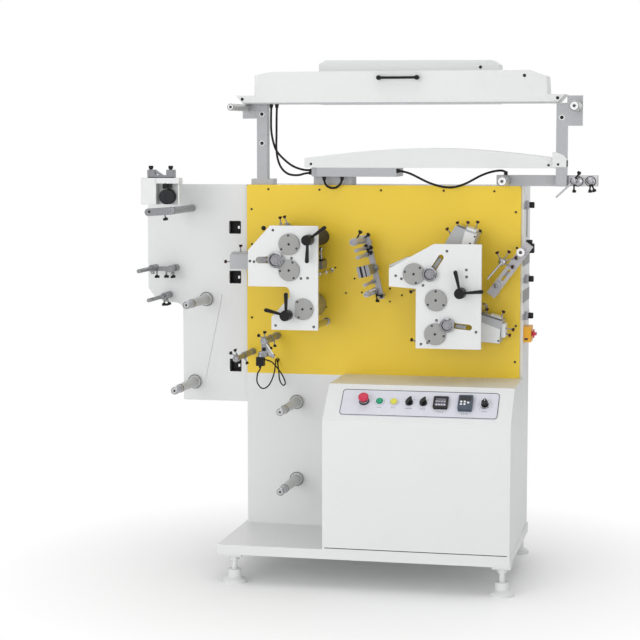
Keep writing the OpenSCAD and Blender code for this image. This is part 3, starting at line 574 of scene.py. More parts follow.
def face_frame(spot: Vector, normal: Vector, spin: float = 0.0) -> Matrix:
    """A frame on a surface, whose Z axis is the surface's normal.

    Args:
        spot: Origin of the frame.
        normal: Outward direction of the surface.
        spin: Turn about the normal, in degrees.

    Returns:
        The frame as a matrix.
    """
    normal = normal.normalized()
    across = UP.cross(normal) if abs(normal.z) < 0.99 else RIGHT
    across.normalize()
    upward = normal.cross(across)
    turned = Matrix((across, upward, normal)).transposed().to_4x4()
    return Matrix.Translation(spot) @ turned @ Matrix.Rotation(math.radians(spin), 4, "Z")


def ring_of(radius: float, count: int, start: float = 0.0) -> list[Pair]:
    """Points round a circle, the first at the start angle in degrees."""
    turns = [math.radians(start + 360 * i / count) for i in range(count)]
    return [(radius * math.cos(t), radius * math.sin(t)) for t in turns]


def oblong(left: float, right: float, half: float) -> list[Pair]:
    """Outline of a rectangle from left to right, with half its height on either side."""
    return [(left, -half), (right, -half), (right, half), (left, half)]


def rounded(width: float, height: float, radius: float, steps: int = 6) -> list[Pair]:
    """Outline of a rectangle with round corners, about its middle.

    Args:
        width: Full width in millimetres.
        height: Full height.
        radius: Radius of the corners.
        steps: Stretches in each corner.

    Returns:
        Corners of the outline, in order.
    """
    outline = []
    for quarter, (sx, sy) in enumerate(((1, 1), (-1, 1), (-1, -1), (1, -1))):
        for step in range(steps + 1):
            turn = math.radians(90 * quarter + 90 * step / steps)
            x = sx * (width / 2 - radius) + radius * math.cos(turn)
            y = sy * (height / 2 - radius) + radius * math.sin(turn)
            outline.append((x, y))
    return outline


def turned(
    name: str, finish: Finish, places: list[Point], outline: list[Pair], steps: int = 32, axis: Vector = FRONT
) -> None:
    """Makes a piece of equal turned forms.

    Args:
        name: Name of the piece.
        finish: Its finish.
        places: Places of the drawing where the forms start.
        outline: Radius and distance along the axis, in millimetres.
        steps: Number of faces around.
        axis: Direction of their axes.
    """
    shape = Shape(name)
    for place in places:
        shape.turn(at(*place), axis, outline, steps)
    shape.done(finish)


def boxes(name: str, finish: Finish, edge: float, *rows: tuple[float, ...]) -> None:
    """Makes a piece of blocks.

    Args:
        name: Name of the piece.
        finish: Its finish.
        edge: Width of the softened edges in millimetres.
        rows: Lowest and then highest corner of each block in the drawing.
    """
    shape = Shape(name)
    for row in rows:
        shape.block(at(*row[:3]), at(*row[3:]), edge)
    shape.done(finish)


@dataclass
class SocketScrews:
    """A set of socket head screws that face forward, at places of the drawing."""

    name: str
    places: list[Point]
    head: float
    height: float
    finish: Finish = Finish.BLACK
    core: Finish = Finish.DARK

    def build(self) -> None:
        """Makes every screw's head with its hexagon socket."""
        heads = Shape(self.name)
        cores = Shape(self.name + "_sockets")
        socket, top = self.head * 0.5, self.height
        floor = top - min(self.head * 0.3, top * 0.8)
        wall = [(self.head, 0), (self.head, top - 0.6), (self.head - 0.6, top), (socket, top)]
        for place in self.places:
            heads.turn(at(*place), FRONT, wall, 20)
            cores.turn(at(*place), FRONT, [(socket, top), (socket * 0.96, floor), (0, floor)], 6)
        heads.done(self.finish)
        cores.done(self.core)


@dataclass
class ThumbScrews:
    """Small clamping screws with a three-lobed head.

    Each row is a screw's foot and its head's place, or its way where all stems have one length.
    """

    name: str
    rows: list[tuple[float, ...]]
    stem: float = 0.0
    head: float = 7.0
    finish: Finish = Finish.KNOB
    stem_finish: Finish = Finish.STEEL
    thick: float = 7.0
    width: float = 2.2

    def build(self) -> None:
        """Makes the heads in plastic and the stems in steel."""
        heads = Shape(self.name + "_heads")
        stems = Shape(self.name + "_stems")
        lobes = []
        for step in range(24):
            turn = 2 * math.pi * step / 24
            reach = self.head * (0.78 + 0.26 * math.cos(3 * turn))
            lobes.append((reach * math.cos(turn), reach * math.sin(turn)))
        for row in self.rows:
            foot = at(*row[:3])
            way = Vector(row[3:]) if self.stem else at(*row[3:]) - foot
            length = self.stem * MM if self.stem else way.length
            way = way.normalized()
            top = foot + way * length
            stems.rod(foot - way * 3 * MM, top, self.width, 12)
            stems.turn(foot, way, [(0, 0), (4.2, 0), (4.2, 3), (0, 3)], 12)
            heads.press(face_frame(top, way), lobes, self.thick, 0.9)
            heads.turn(top, way, [(4.0, -2.5), (4.0, 0.2), (0, 0.2)], 16)
        heads.done(self.finish)
        stems.done(self.stem_finish)


def black_clamps(name: str, rows: list[tuple[float, ...]]) -> None:
    """Makes a set of large thumb screws that are black all over."""
    ThumbScrews(name, rows, 0.0, 8.0, Finish.BLACK, Finish.BLACK, 9.0, 3.0).build()


@dataclass
class Cable:
    """A short cable between two of the machine's housings, its points counted from a corner (x, z)."""

    name: str
    node: str
    corner: Pair
    points: list[Point]
    diameter: float = 8.0
    glands: bool = True
    stretches: int = 6

    def route(self) -> list[Vector]:
        """Draws a smooth route through the chosen points.

        Returns:
            Points along the cable's middle, in metres.
        """
        spots = [at(self.corner[0] + x, y, self.corner[1] + z) for x, y, z in self.points]
        found = []
        for a, b, c, d in zip([spots[0], *spots], spots, spots[1:], [*spots[2:], spots[-1]]):
            for step in range(self.stretches):
                t = step / self.stretches
                curve = 2 * b + (c - a) * t + (2 * a - 5 * b + 4 * c - d) * t * t
                found.append(0.5 * (curve + (3 * b - a - 3 * c + d) * t**3))
        return [*found, spots[-1]]

    def build(self) -> None:
        """Makes the cable and, where it has them, its two glands."""
        route = self.route()
        length = sum((b - a).length for a, b in zip(route, route[1:]))
        piece = Shape(self.name).tube(route, self.diameter / 2, 16).done(Finish.CABLE)
        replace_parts(piece, self.node)
        if self.glands:
            r = self.diameter / 2
            gland = [(r + 3.4, 0), (r + 3.4, 5), (r + 2.2, 6), (r + 2.2, 11), (r + 0.6, 14), (r, 14)]
            ends = Shape(self.name + "_glands")
            ends.turn(route[0], route[1] - route[0], gland, 20)
            ends.turn(route[-1], route[-2] - route[-1], gland, 20)
            ends.done(Finish.BLACK)


@dataclass
class FrontPlate:
    """Small screws, plugs and the painted shadow lines at the yellow plate's joint with the wing and under
    its lower edge.
    """

    edge_screws: tuple[Pair, ...] = (
        (81, 1374), (271, 1373), (497, 1372), (724, 1372), (905, 1371), (18, 1301), (19, 1173), (18, 904),
        (982, 1298), (987, 1171), (986, 893), (984, 764),
    )
    field_screws: tuple[Pair, ...] = (
        (277, 1128), (330, 1092), (401, 1053), (369, 1000), (428, 1003), (531, 1019), (575, 996), (531, 972),
        (296, 948),
    )
    plugs: tuple[Pair, ...] = ((63, 1232), (853, 1228))
    foot: float = 702.0

    def build(self) -> None:
        """Makes the screws, the two round plugs and the shadow lines round the plate."""
        SocketScrews("plate_edge_screws", [(x, 0, z) for x, z in self.edge_screws], 4.0, 2.0).build()
        SocketScrews("plate_field_screws", [(x, 0, z) for x, z in self.field_screws], 3.5, 1.8).build()
        plug = [(8.5, 0), (8.5, 1.4), (7.4, 2.2), (5, 2.6), (0, 2.6)]
        turned("plate_plugs", Finish.BLACK, [(x, 0, z) for x, z in self.plugs], plug)
        wing_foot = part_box("wing_plate")[0].z / MM
        # Painted shadow: dark strips in the step along the plate's left edge, down to the wing's foot, and
        # under the plate's lower edge.
        boxes(
            "plate_painted_shadow_lines", Finish.DARK, 0, (-3.4, 14, self.foot, -0.2, 20.4, 1389),
            (-3.2, 18.8, wing_foot + 1, -0.6, 20.6, self.foot), (0.5, 2, 696.6, 999.5, 19.5, 699.8),
        )


@dataclass
class PrintHeads:
    """Screws, ring teeth and slide blocks on the two head plates.

    A cap's row is its middle and the turn of its screws, and a ring's row is its middle and its radius.
    """

    face: float = -220.0
    cap_face: float = -229.0
    ring_floor: float = -233.5
    caps: tuple[Point, ...] = (
        (209.7, 1187, 93), (209.7, 1095, 64), (258.7, 959, 125),
        (654, 1089, 165), (732, 999, 90), (730, 881, 110),
    )
    cap_screw_reach: float = 31.5
    rings: tuple[Point, ...] = ((164, 1132, 28), (711, 1090, 25), (773, 914, 25))
    screws: tuple[Pair, ...] = (
        (151, 1236), (67, 1126), (82, 1124), (252, 1067), (276, 1069), (160, 899), (298, 897), (218, 1138),
        (769, 1170), (590, 1082), (610, 1072), (686, 1050), (837, 1106), (838, 1082), (734, 929), (680, 845),
        (703, 850), (872, 891),
    )
    slots: tuple[tuple[float, ...], ...] = (
        (100, 1130, 139, 1132), (722, 1108, 746, 1145), (800, 911, 836, 906),
    )

    def build(self) -> None:
        """Makes the screws, the rings' teeth and the slide blocks."""
        places = [(x, self.face, z) for x, z in self.screws]
        SocketScrews("head_screws", places, 4.6, 1.6, core=Finish.CHROME).build()
        places = []
        for x, z, start in self.caps:
            for dx, dz in ring_of(self.cap_screw_reach, 3, start):
                if not (x == 258.7 and dx < -24):
                    places.append((x + dx, self.cap_face, z + dz))
        SocketScrews("cap_screws", places, 4.2, 0.8, finish=Finish.GUNMETAL).build()
        places = [(x, self.cap_face + 3.7, z) for x, z, _ in self.caps]
        turned("cap_centres", Finish.DARK, places, [(4.4, 0), (4.2, 0.2), (0, 0.2)], 20)
        self._teeth()
        self._slides()

    def _teeth(self) -> None:
        """Makes the inner teeth and the fine knurl of every pressure ring."""
        teeth = Shape("ring_teeth")
        for x, z, radius in self.rings:
            inner, outer = radius - 11, radius + 0.5
            tooth = [(9, -2.2), (inner, -2.8), (inner, 2.8), (9, 2.2)]
            ridge = [(radius - 0.6, -0.9), (outer, -0.5), (outer, 0.5), (radius - 0.6, 0.9)]
            for number in range(8):
                frame = face_frame(at(x, self.ring_floor, z), FRONT, 22.5 + number * 45)
                teeth.press(frame, tooth, 4.6, 0.5)
            for number in range(40):
                teeth.press(face_frame(at(x, self.face - 13, z), FRONT, number * 9), ridge, 5.0)
        teeth.done(Finish.CHROME)

    def _slides(self) -> None:
        """Makes the guide blocks that show in the slots."""
        blocks = Shape("slot_blocks")
        for x1, z1, x2, z2 in self.slots:
            angle = math.degrees(math.atan2(z2 - z1, x2 - x1))
            length = math.hypot(x2 - x1, z2 - z1)
            frame = face_frame(at(x1, self.face + 11, z1), FRONT, angle)
            blocks.press(frame, oblong(0, length, 6), 5.0, 0.8)
            for step in range(1, 4):
                along = length * step / 4
                blocks.press(frame, oblong(along, along + 2, 5), 6.4, 0.4)
        blocks.done(Finish.STEEL)


@dataclass
class Console:
    """Details on the console's sloping face, placed from the panel's middle and up the slope."""

    panel_mid: float = 693.0
    low_edge: Pair = (-391.0, 593.0)
    tilt: float = math.degrees(math.atan2(112, 121))
    slope: float = math.hypot(112, 121)
    row: float = 3.0
    foil: float = 3.0
    stop: float = -192.0
    start_button: float = -138.0
    stop_button: float = -88.0
    left_selector: float = -35.0
    right_selector: float = 14.0
    counter: float = 75.0
    timer: float = 160.0
    speed: float = 226.0

    def frame(self, x: float, up: float, height: float, spin: float = 0.0) -> Matrix:
        """Frame on the panel.

        Args:
            x: Millimetres right of the panel's middle.
            up: Millimetres up the slope from the panel's middle.
            height: Millimetres above the foil.
            spin: Turn about the panel's normal, in degrees.

        Returns:
            The frame as a matrix.
        """
        lean = math.radians(self.tilt)
        normal = Vector((0, -math.sin(lean), math.cos(lean)))
        along = Vector((0, math.cos(lean), math.sin(lean)))
        base = at(self.panel_mid + x, *self.low_edge)
        spot = base + along * (self.slope / 2 + up) * MM + normal * (self.foil + height) * MM
        return face_frame(spot, normal, spin)

    def ring(self, shape: Shape, x: float, height: float, outline: list[Pair], steps: int = 40) -> None:
        """Turns an outline about a control's own axis.

        Args:
            shape: Shape that takes it.
            x: Place of the control along the panel.
            height: Millimetres above the foil.
            outline: Radius and distance along the axis, in millimetres.
            steps: Number of faces around.
        """
        frame = self.frame(x, self.row, height)
        shape.turn(frame.translation, frame.to_3x3() @ UP, outline, steps)

    def build(self) -> None:
        """Makes the panel's border, bezels, faces and scales."""
        loop = [self.frame(x, y, 0.1).translation for x, y in rounded(543, 111, 11)]
        Shape("panel_border").tube([*loop, loop[0]], 1.1, 6).done(Finish.DARK)
        self._bezels()
        self._marks()
        self._counter()
        self._timer()
        boxes("console_seam", Finish.DARK, 0, (373, -390.95, 145, 1006, -390.4, 148))

    def _bezels(self) -> None:
        """Chrome rings under the buttons and selectors."""
        rings = Shape("control_bezels")
        rows = (
            (self.start_button, 15.4, 4.6), (self.stop_button, 15.4, 4.6), (self.left_selector, 14.6, 2.2),
            (self.right_selector, 14.6, 2.2), (self.speed, 17, 2.4),
        )
        for x, radius, height in rows:
            wall = [(radius + 0.4, 0), (radius + 0.4, height - 1), (radius - 0.6, height)]
            self.ring(rings, x, 0, [*wall, (radius - 2.6, height), (radius - 2.8, height - 1.6)])
        stack = [(15.4, 0), (15.4, 5), (14.4, 6), (14.4, 8.4), (13.4, 9.6), (8.6, 9.6)]
        self.ring(rings, self.stop, 0, stack)
        rings.done(Finish.CHROME)
        collar = Shape("stop_collar")
        self.ring(collar, self.stop, 0, [(19, 0), (19, 1.2), (18, 2.2), (15.6, 2.2)])
        self.ring(collar, self.stop, 5.4, [(14.6, -1), (15.6, -0.6), (15.6, 0.6), (14.6, 1)])
        collar.done(Finish.DARK)

    def _marks(self) -> None:
        """Scale ticks round the selectors and the speed knob, and plain tags under the controls."""
        marks = Shape("scale_marks")
        scales = (
            (self.left_selector, (45, 135), 20), (self.right_selector, (45, 135), 20),
            (self.speed, range(-45, 226, 27), 22),
        )
        for x, turns, radius in scales:
            for turn in turns:
                marks.press(self.frame(x, self.row, 0, turn), oblong(radius, radius + 4, 0.5), 0.25)
        tags = (
            (self.start_button, 3, -24), (self.stop_button, 3, -24), (self.left_selector, 4, -25),
            (self.right_selector, 3, -25), (self.counter, 4, -36), (self.timer, 4, -41), (self.speed, 3, -28),
        )
        for x, count, up in tags:
            for place in range(count):
                frame = self.frame(x + (place - (count - 1) / 2) * 6, self.row + up, 0)
                marks.press(frame, oblong(-1.6, 1.6, 1), 0.2)
        marks.done(Finish.DARK)
        pointer = Shape("speed_pointer")
        line = [(-0.8, 4), (0.8, 4), (0.8, 13), (-0.8, 13)]
        pointer.press(self.frame(self.speed, self.row, 18.8), line, 0.5)
        pointer.done(Finish.WHITE, Body.SPEED)

    def _counter(self) -> None:
        """Window, digit wheels and push keys of the counter."""
        rim = Shape("counter_rim")
        rim.press(self.frame(self.counter, self.row, 9), rounded(52, 52, 4), 1.6, 0.5).done(Finish.BLACK)
        window = Shape("counter_window")
        for up, outline in ((12, rounded(34, 4, 1)), (2, rounded(36, 9, 1)), (-12, rounded(38, 10, 2))):
            window.press(self.frame(self.counter, self.row + up, 10.2), outline, 1.0, 0.3)
        window.done(Finish.WINDOW)
        digits = Shape("counter_digits")
        first, pitch = self.counter - 13.5, 9
        for place, digit in enumerate("0420"):
            self._digit(digits, first + place * pitch, digit)
        for place in range(4):
            frame = self.frame(first + place * pitch, self.row - 12, 11)
            digits.press(frame, rounded(5, 5.6, 1, 2), 1.4, 0.3)
        digits.done(Finish.FOIL)

    def _digit(self, shape: Shape, x: float, digit: str) -> None:
        """Adds one seven-bar digit to the counter.

        Args:
            shape: Shape that takes the bars.
            x: Millimetres right of the panel's middle.
            digit: One of 0, 2 and 4.
        """
        w, h, t = 3.2, 5.6, 0.8
        spots = {
            "a": (0, h / 2, w, t), "g": (0, 0, w, t), "d": (0, -h / 2, w, t), "f": (-w / 2, h / 4, t, h / 2),
            "b": (w / 2, h / 4, t, h / 2), "e": (-w / 2, -h / 4, t, h / 2), "c": (w / 2, -h / 4, t, h / 2),
        }
        for bar in {"0": "abcdef", "2": "abged", "4": "fgbc"}[digit]:
            dx, dy, wide, tall = spots[bar]
            frame = self.frame(x + dx, self.row + 2 + dy, 11.3)
            shape.press(frame, oblong(-wide / 2, wide / 2, tall / 2), 0.3)

    def _timer(self) -> None:
        """Timer's face with its screen and five white keys."""
        face = Shape("timer_face")
        face.press(self.frame(self.timer, self.row, 12), rounded(50, 64, 4), 1.8, 0.6).done(Finish.SLATE)
        screen = Shape("timer_screen")
        screen.press(self.frame(self.timer, self.row + 16, 13.2), rounded(40, 20, 2), 1.0, 0.3)
        screen.done(Finish.DARK)
        keys = Shape("timer_keys")
        for x, up in ((-14, 0), (-2, 0), (10, -4), (-14, -11), (-2, -11)):
            frame = self.frame(self.timer + x, self.row + up + 2, 13.6)
            keys.turn(frame.translation, frame.to_3x3() @ UP, [(4, 0), (4, 0.8), (3.2, 1.4), (0, 1.4)], 20)
        keys.done(Finish.WHITE)


@dataclass
class Heads:
    """Fittings round the heads: ink boxes, guide bar, register arm and sensor."""

    cover_face: float = -120.0
    roller_face: Point = (1010.0, -96.0, 1161.0)
    adjuster: Point = (317.0, 0.0, 1082.0)
    post: Point = (290.0, -60.0, 0.0)
    guide_pins: tuple[Point, ...] = (
        (439.9, 1197, 12), (450.2, 1167.6, 5.5), (456.2, 1143.6, 5.5), (481, 1047.7, 5), (488, 1015, 9),
    )

    def build(self) -> None:
        """Makes every fitting that is smaller than a CAD node."""
        self._ink_boxes()
        self._ink_screws()
        self._guide()
        self._adjuster()
        self._register()
        self._sensor()

    def _ink_boxes(self) -> None:
        """Covers and joints of the ink boxes."""
        covers = Shape("ink_box_covers")
        front = face_frame(at(0, self.cover_face, 0), FRONT)
        covers.press(front, [(806, 1189), (845, 1184), (858, 1222), (818, 1236)], 3, 0.6)
        covers.press(front, [(852, 849), (941, 843), (945, 892), (880, 915), (852, 924)], 3, 0.6)
        lids = (
            ((784, 0, 1253), math.atan2(27, 77), [(38, -112), (74, -112), (74, -30), (38, -30)], 1.2),
            ((880, 0, 941), math.atan2(21, 71), [(26, -106), (66, -106), (66, -40), (26, -40)], 1.4),
        )
        for corner, slope, outline, edge in lids:
            frame = Matrix.Translation(at(*corner)) @ Matrix.Rotation(slope, 4, "Y")
            covers.press(frame, outline, 9, edge)
        covers.block(at(944, -104, 862), at(960, -40, 910), 1.6).done(Finish.LIGHT)
        joints = Shape("ink_box_joints")
        joints.rod(at(876, -113, 943), at(948, -113, 922), 4)
        joints.rod(at(792, -112, 1251), at(816, -112, 1243), 4)
        joints.block(at(941.5, -106, 868), at(945, -38, 904), 0).done(Finish.GUNMETAL)

    def _ink_screws(self) -> None:
        """Screws of the ink boxes, and the bridge, rail and rim behind the head plates."""
        places = [
            (50, -120, 1126), (852, -123, 1216), (836, -123, 1192), (858, -123, 884), (938, -123, 852),
        ]
        SocketScrews("ink_box_screws_flat", places, 3.2, 1.4).build()
        ThumbScrews("ink_box_screws", [
            (-6, -70, 1149, -6, -70, 1168), (-33, -90, 1114, -54, -90, 1114),
            (820, -100, 1243, 825, -100, 1262), (847, -70, 1238, 855, -70, 1262),
            (765, -90, 1222, 752, -90, 1238), (786, -60, 1250, 783, -60, 1259),
            (892, -90, 936, 893, -90, 956), (941, -80, 926, 950, -80, 948),
            (960, -90, 893, 984, -90, 890), (960, -70, 872, 970, -70, 868),
        ]).build()
        bridge = Shape("left_ink_bridge").block(at(142, -208, 1230), at(188, -56, 1247), 1.2)
        bridge.turn(at(149, -90, 1247), UP, [(5, 0), (5, 6), (4, 8), (0, 8)], 16)
        bridge.turn(at(172, -90, 1247), UP, [(6, 0), (6, 8), (5, 9), (0, 9)], 16).done(Finish.STEEL)
        ThumbScrews("head_back_screws", [
            (149, -90, 1254, 146, -90, 1272), (172, -90, 1255, 163, -90, 1275),
            (634, -100, 1022, 626, -100, 1018), (640, -100, 842, 630, -100, 845),
        ]).build()
        rail = Shape("right_head_rail").rod(at(566, -202, 1113), at(636, -202, 1145), 6)
        rail.done(Finish.ALUMINIUM)
        rim = [(34, -1), (37.6, 0), (38, 3), (37.6, 6), (34, 7)]
        turned("lower_roller_rim", Finish.KNOB, [(258.7, -12, 959)], rim, 40)

    def _guide(self) -> None:
        """Collars, springs, sensor strips and thumb screws along the guide bar."""
        collars = Shape("guide_collars")
        for x, z, radius in self.guide_pins:
            wide = radius + 3.5
            sleeve = [(radius, 0), (wide, 1), (wide, 15), (wide - 1, 16), (radius, 16)]
            collars.turn(at(x, -53, z), FRONT, sleeve, 24)
            rim = [(radius - 1.2, 0), (radius - 1.8, 1.2)]
            hollow = [(radius * 0.5, 1.4), (radius * 0.45, 0.3), (0, 0.3)]
            collars.turn(at(x, -235, z), FRONT, [*rim, *hollow], 24)
        x, z, radius = self.guide_pins[-1]
        coil = [(radius - 1, 0), (radius + 1.8, 2), (radius + 1.8, 7), (radius - 1, 9)]
        for step in range(7):
            collars.turn(at(x, -84 - step * 18, z), FRONT, coil, 24)
        collars.done(Finish.CHROME)
        frame = face_frame(at(467.5, -174, 1091.5), FRONT, 13.9)
        strips = (
            ("light", Finish.CHROME, ((-22, -12, 4.0), (-4, 5, 4.6), (9, 15, 3.0))),
            ("dark", Finish.BLACK, ((-12, -4, 2.0), (5, 9, 2.0))),
            ("plain", Finish.STEEL, ((15, 22, 2.6),)),
        )
        for name, finish, group in strips:
            strip = Shape("sensor_strips_" + name)
            for left, right, height in group:
                strip.press(frame, oblong(left, right, 20), height, 0.5)
            strip.done(finish)
        black_clamps("guide_screws", [
            (439, -150, 1207, 449, -150, 1226), (449, -66, 1202, 461, -66, 1213),
            (459, -66, 1162, 455, -66, 1172), (462, -66, 1160, 471, -66, 1168),
            (462, -66, 1156, 470, -66, 1153), (494, -66, 1002, 509, -66, 998),
            (494, -66, 1000, 496, -66, 984),
        ])

    def _adjuster(self) -> None:
        """Adjusting block with its spindle, and the pin behind the left head's edge."""
        boxes("adjuster_block", Finish.STEEL, 1.6, (262, -82, 1091, 299, 0, 1120))
        pin = Shape("adjuster_pins")
        x, y, z = self.adjuster
        pin.rod(at(x, y - 208, z), at(x, y, z), 5)
        pin.turn(at(x, y - 84, z), FRONT, [(5, 0), (7, 1), (7, 28), (5, 29)], 20)
        pin.turn(at(x, y, z), FRONT, [(8, 0), (8, 5), (5, 7)], 20)
        x, y, _ = self.post
        pin.rod(at(x, y, 1119), at(x, y, 1157), 3.2)
        pin.turn(at(x, y, 1133), UP, [(3, 0), (8.6, 0.6), (9, 1.6), (9, 5), (8, 6), (3, 6)], 20)
        knob = [(0, 0), (5, 0.8), (7.6, 4), (8, 8), (6.6, 12), (3.4, 14.4), (0, 15)]
        pin.turn(at(x, y, 1154), UP, knob, 20).done(Finish.CHROME)
        boxes("adjuster_cap", Finish.BLACK, 1, (274, -80, 1120, 300, -20, 1125))

    def _register(self) -> None:
        """Clamp, rod, roller face and screws of the register arm."""
        parts = Shape("register_clamp")
        clamp = [(9, 0), (12, 1), (13, 8), (13, 22), (11, 27), (6, 29), (0, 29)]
        parts.turn(at(944, -60, 1126), FRONT, clamp)
        parts.rod(at(946, -96, 1126), at(896, -112, 1067), 3.6)
        cup = [(10, 0), (10, 3), (7, 3.6), (6, 1.2), (3.4, 1.2), (3, 4), (0, 4)]
        parts.turn(at(927, -84, 1043), FRONT, cup, 24).done(Finish.CHROME)
        disc = [(14.6, 0), (13.4, 1.5), (6, 2)]
        turned("register_roller_face", Finish.WHITE, [self.roller_face], disc)
        core = [(6, 2), (5.4, 0.8), (2.4, 0.8), (2, 2.4), (0, 2.4)]
        turned("register_roller_core", Finish.GUNMETAL, [self.roller_face], core, 24)
        ThumbScrews("register_screws", [
            (938, -84, 1137, 928, -84, 1156), (952, -84, 1136, 967, -84, 1160),
            (957, -84, 1130, 990, -84, 1140), (955, -80, 1120, 978, -80, 1110),
        ], head=7.5).build()
        rows = ((1034, -60, 1157, 1053, -34, 1190), (1025, -60, 1186, 1046, -34, 1203))
        boxes("register_end_block", Finish.BLACK, 1.4, *rows)

    def _sensor(self) -> None:
        """Sensor head, clamp plate and thumb screws of the sensor stand."""
        nose = Shape("sensor_nose").turn(at(98, -200, 752), -UP, [(5.2, -0.5), (5.2, 3), (4, 8), (3, 9)], 20)
        nose.block(at(108, -212, 806), at(120, -190, 818), 1).done(Finish.BLACK)
        parts = Shape("sensor_clamps")
        frame = face_frame(at(118, -200, 826), FRONT, -56)
        parts.press(frame, [(-2, -8), (42, -8), (42, 5), (-2, 5)], 5, 1)
        edge = Shape("sensor_bracket_edge")
        edge.press(frame, [(-2, 5), (44, 5), (44, 8), (-2, 8)], 8, 0.5).done(Finish.WHITE)
        barrel = [(0, -14), (7, -14), (8, -12), (8, 10), (6, 12), (0, 12)]
        parts.turn(at(140, -196, 790), RIGHT - UP * 0.5, barrel, 20)
        parts.turn(at(100, -200, 776), UP, [(9, 0), (10, 2), (10, 14), (8, 16), (8, 24), (6, 26)], 24)
        for place in ((114, -208, 840), (22, -250, 780)):
            parts.turn(at(*place), FRONT, [(10, 0), (9, 2.5), (4.4, 3), (4, 0.4), (0, 0.4)], 24)
        parts.done(Finish.CHROME)
        ThumbScrews("sensor_screws", [
            (106, -190, 850, -1, 0, 0.55), (114, -196, 854, 0, 0, 1), (124, -180, 828, 0.6, 0, -1),
            (116, -60, 826, 0.1, 0, -1), (16, -240, 790, -1, 0, 0.6), (20, -228, 792, -0.4, 0, 1),
            (30, -150, 770, 0.5, 0, -1),
        ], stem=15, finish=Finish.BLACK).build()
        grommet = [(7.6, 0), (7.6, 1.4), (6.6, 2.6), (6.2, 2.6), (6.2, 1)]
        turned("fibre_grommet", Finish.BLACK, [(114, 0, 750)], grommet, 24)


@dataclass
class TopFrame:
    """Screws, clamps and flanges of the top frame; a roller's row is its end's place and its radius."""

    left_post: tuple[Point, ...] = ((54, 14, 1540), (54, 14, 1645))
    right_post: tuple[Point, ...] = ((1143, -40, 1630),)
    clamps: tuple[Point, ...] = ((1200, -24, 1408), (1244, -24, 1408))
    balls: tuple[Point, ...] = ((1187, -30, 1409), (1244, -30, 1409))
    rollers: tuple[tuple[float, ...], ...] = (
        (3, -236, 1667, 12.5), (1197, -190, 1668, 17), (946, -126, 1409, 17),
    )

    def build(self) -> None:
        """Makes the top frame's small parts."""
        hood = [(-4, -46, 1698), (1128, -46, 1698), (1012, -46, 1776)]
        SocketScrews("hood_screws", hood, 5.5, 2.4).build()
        SocketScrews("rear_hood_screws", [(838, 110, 1812)], 5.5, 2.4).build()
        SocketScrews("arch_screws", [(246, -30, 1466), (1098, -30, 1464)], 4.4, 2.2).build()
        SocketScrews("post_screws", list(self.left_post), 6.4, 1.2).build()
        plug = [(5.6, 0), (5.6, 0.3), (5, 0.8), (0, 0.8)]
        turned("post_plugs", Finish.GREY, [(54, 14, 1450), (54, 14, 1565)], plug, 24)
        SocketScrews("right_post_screws", list(self.right_post), 6.4, 1.2).build()
        ring = [(9.6, 0), (9, 0.8), (6.8, 0.8), (6.6, 0)]
        turned("post_screw_rings", Finish.WHITE, [*self.left_post, *self.right_post], ring, 28)
        boxes("hood_lip", Finish.GREY, 0.4, (-2, -47.4, 1681, 1126, -45.6, 1685))
        self._right_end()
        self._clamps()
        self._roller_ends()

    @staticmethod
    def _right_end() -> None:
        """End plate of the hood, and a white strip on the beam's right end that is a painted reflection."""
        plate = Shape("hood_end_plate")
        outline = [(1112, 1457), (1162, 1457), (1162, 1486), (1150, 1500), (1124, 1510), (1112, 1510)]
        plate.press(face_frame(at(0, -40, 0), FRONT), outline, 2.0, 0.4).done(Finish.LIGHT)
        low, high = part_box("cross_beam")
        # Painted reflection: a white strip over the beam's right part makes it lighter than the beam's grey
        # enamel.
        near, far = at(1166, -1.6, 0), at(0, 0.4, 0)
        reflection_strip = Shape("beam_end_painted_reflection")
        reflection_strip.block(Vector((near.x, near.y, low.z + MM)), Vector((high.x - MM, far.y, high.z - MM)), 0.4)
        reflection_strip.done(Finish.WHITE)
        SocketScrews("hood_end_screw", [(1132, -42, 1467)], 4.2, 1.6).build()
        boxes("hood_end_clip", Finish.GUNMETAL, 1, (1160, -42, 1458, 1166, -34, 1482))

    def _clamps(self) -> None:
        """Clamp balls, caps and screws at the beam's right end."""
        ball = [(7, -8), (11, -3), (13, 3), (13.4, 8), (12, 13), (8.6, 17), (4, 19), (0, 19.4)]
        turned("beam_clamp_balls", Finish.CHROME, list(self.balls), ball, 28)
        caps = Shape("beam_clamp_caps")
        for place in self.clamps:
            caps.turn(at(*place), FRONT, [(16, -8), (18.6, -7), (18.6, -3), (16, -2), (16, 0)])
            caps.turn(at(*place), FRONT, [(17, 0), (16, 3), (10, 6), (0, 6)])
        caps.rod(at(1180, -40, 1403), at(1128, -60, 1353), 3.4).done(Finish.CHROME)
        slit = [(17.4, -0.6), (18.8, -0.6), (18.8, 0.6), (17.4, 0.6)]
        turned("beam_clamp_slits", Finish.DARK, list(self.clamps), slit)
        black_clamps("beam_screws", [
            (1194, -40, 1419, 1204, -44, 1434), (1188, -36, 1397, 1188, -38, 1378),
            (1244, -36, 1397, 1243, -36, 1378), (1249, -30, 1397, 1256, -30, 1380),
        ])

    def _roller_ends(self) -> None:
        """White ends and dark bores of the three guide rollers."""
        ends = Shape("roller_ends")
        bores = Shape("roller_bores")
        for x, y, z, radius in self.rollers:
            cup = [(radius - 2.4, 0), (radius - 3.4, 1), (6.4, 1), (5.4, -2), (0, -2)]
            ends.turn(at(x, y, z), FRONT, cup, 28)
            groove = [(radius - 1.2, -0.4), (radius - 1.8, 0.6), (radius - 2.6, 0.6)]
            bores.turn(at(x, y, z), FRONT, groove, 28)
            bores.turn(at(x, y - 0.8, z), FRONT, [(4.4, 0), (4, 0.8), (0, 0.8)], 16)
        ends.done(Finish.WHITE)
        bores.done(Finish.GUNMETAL)


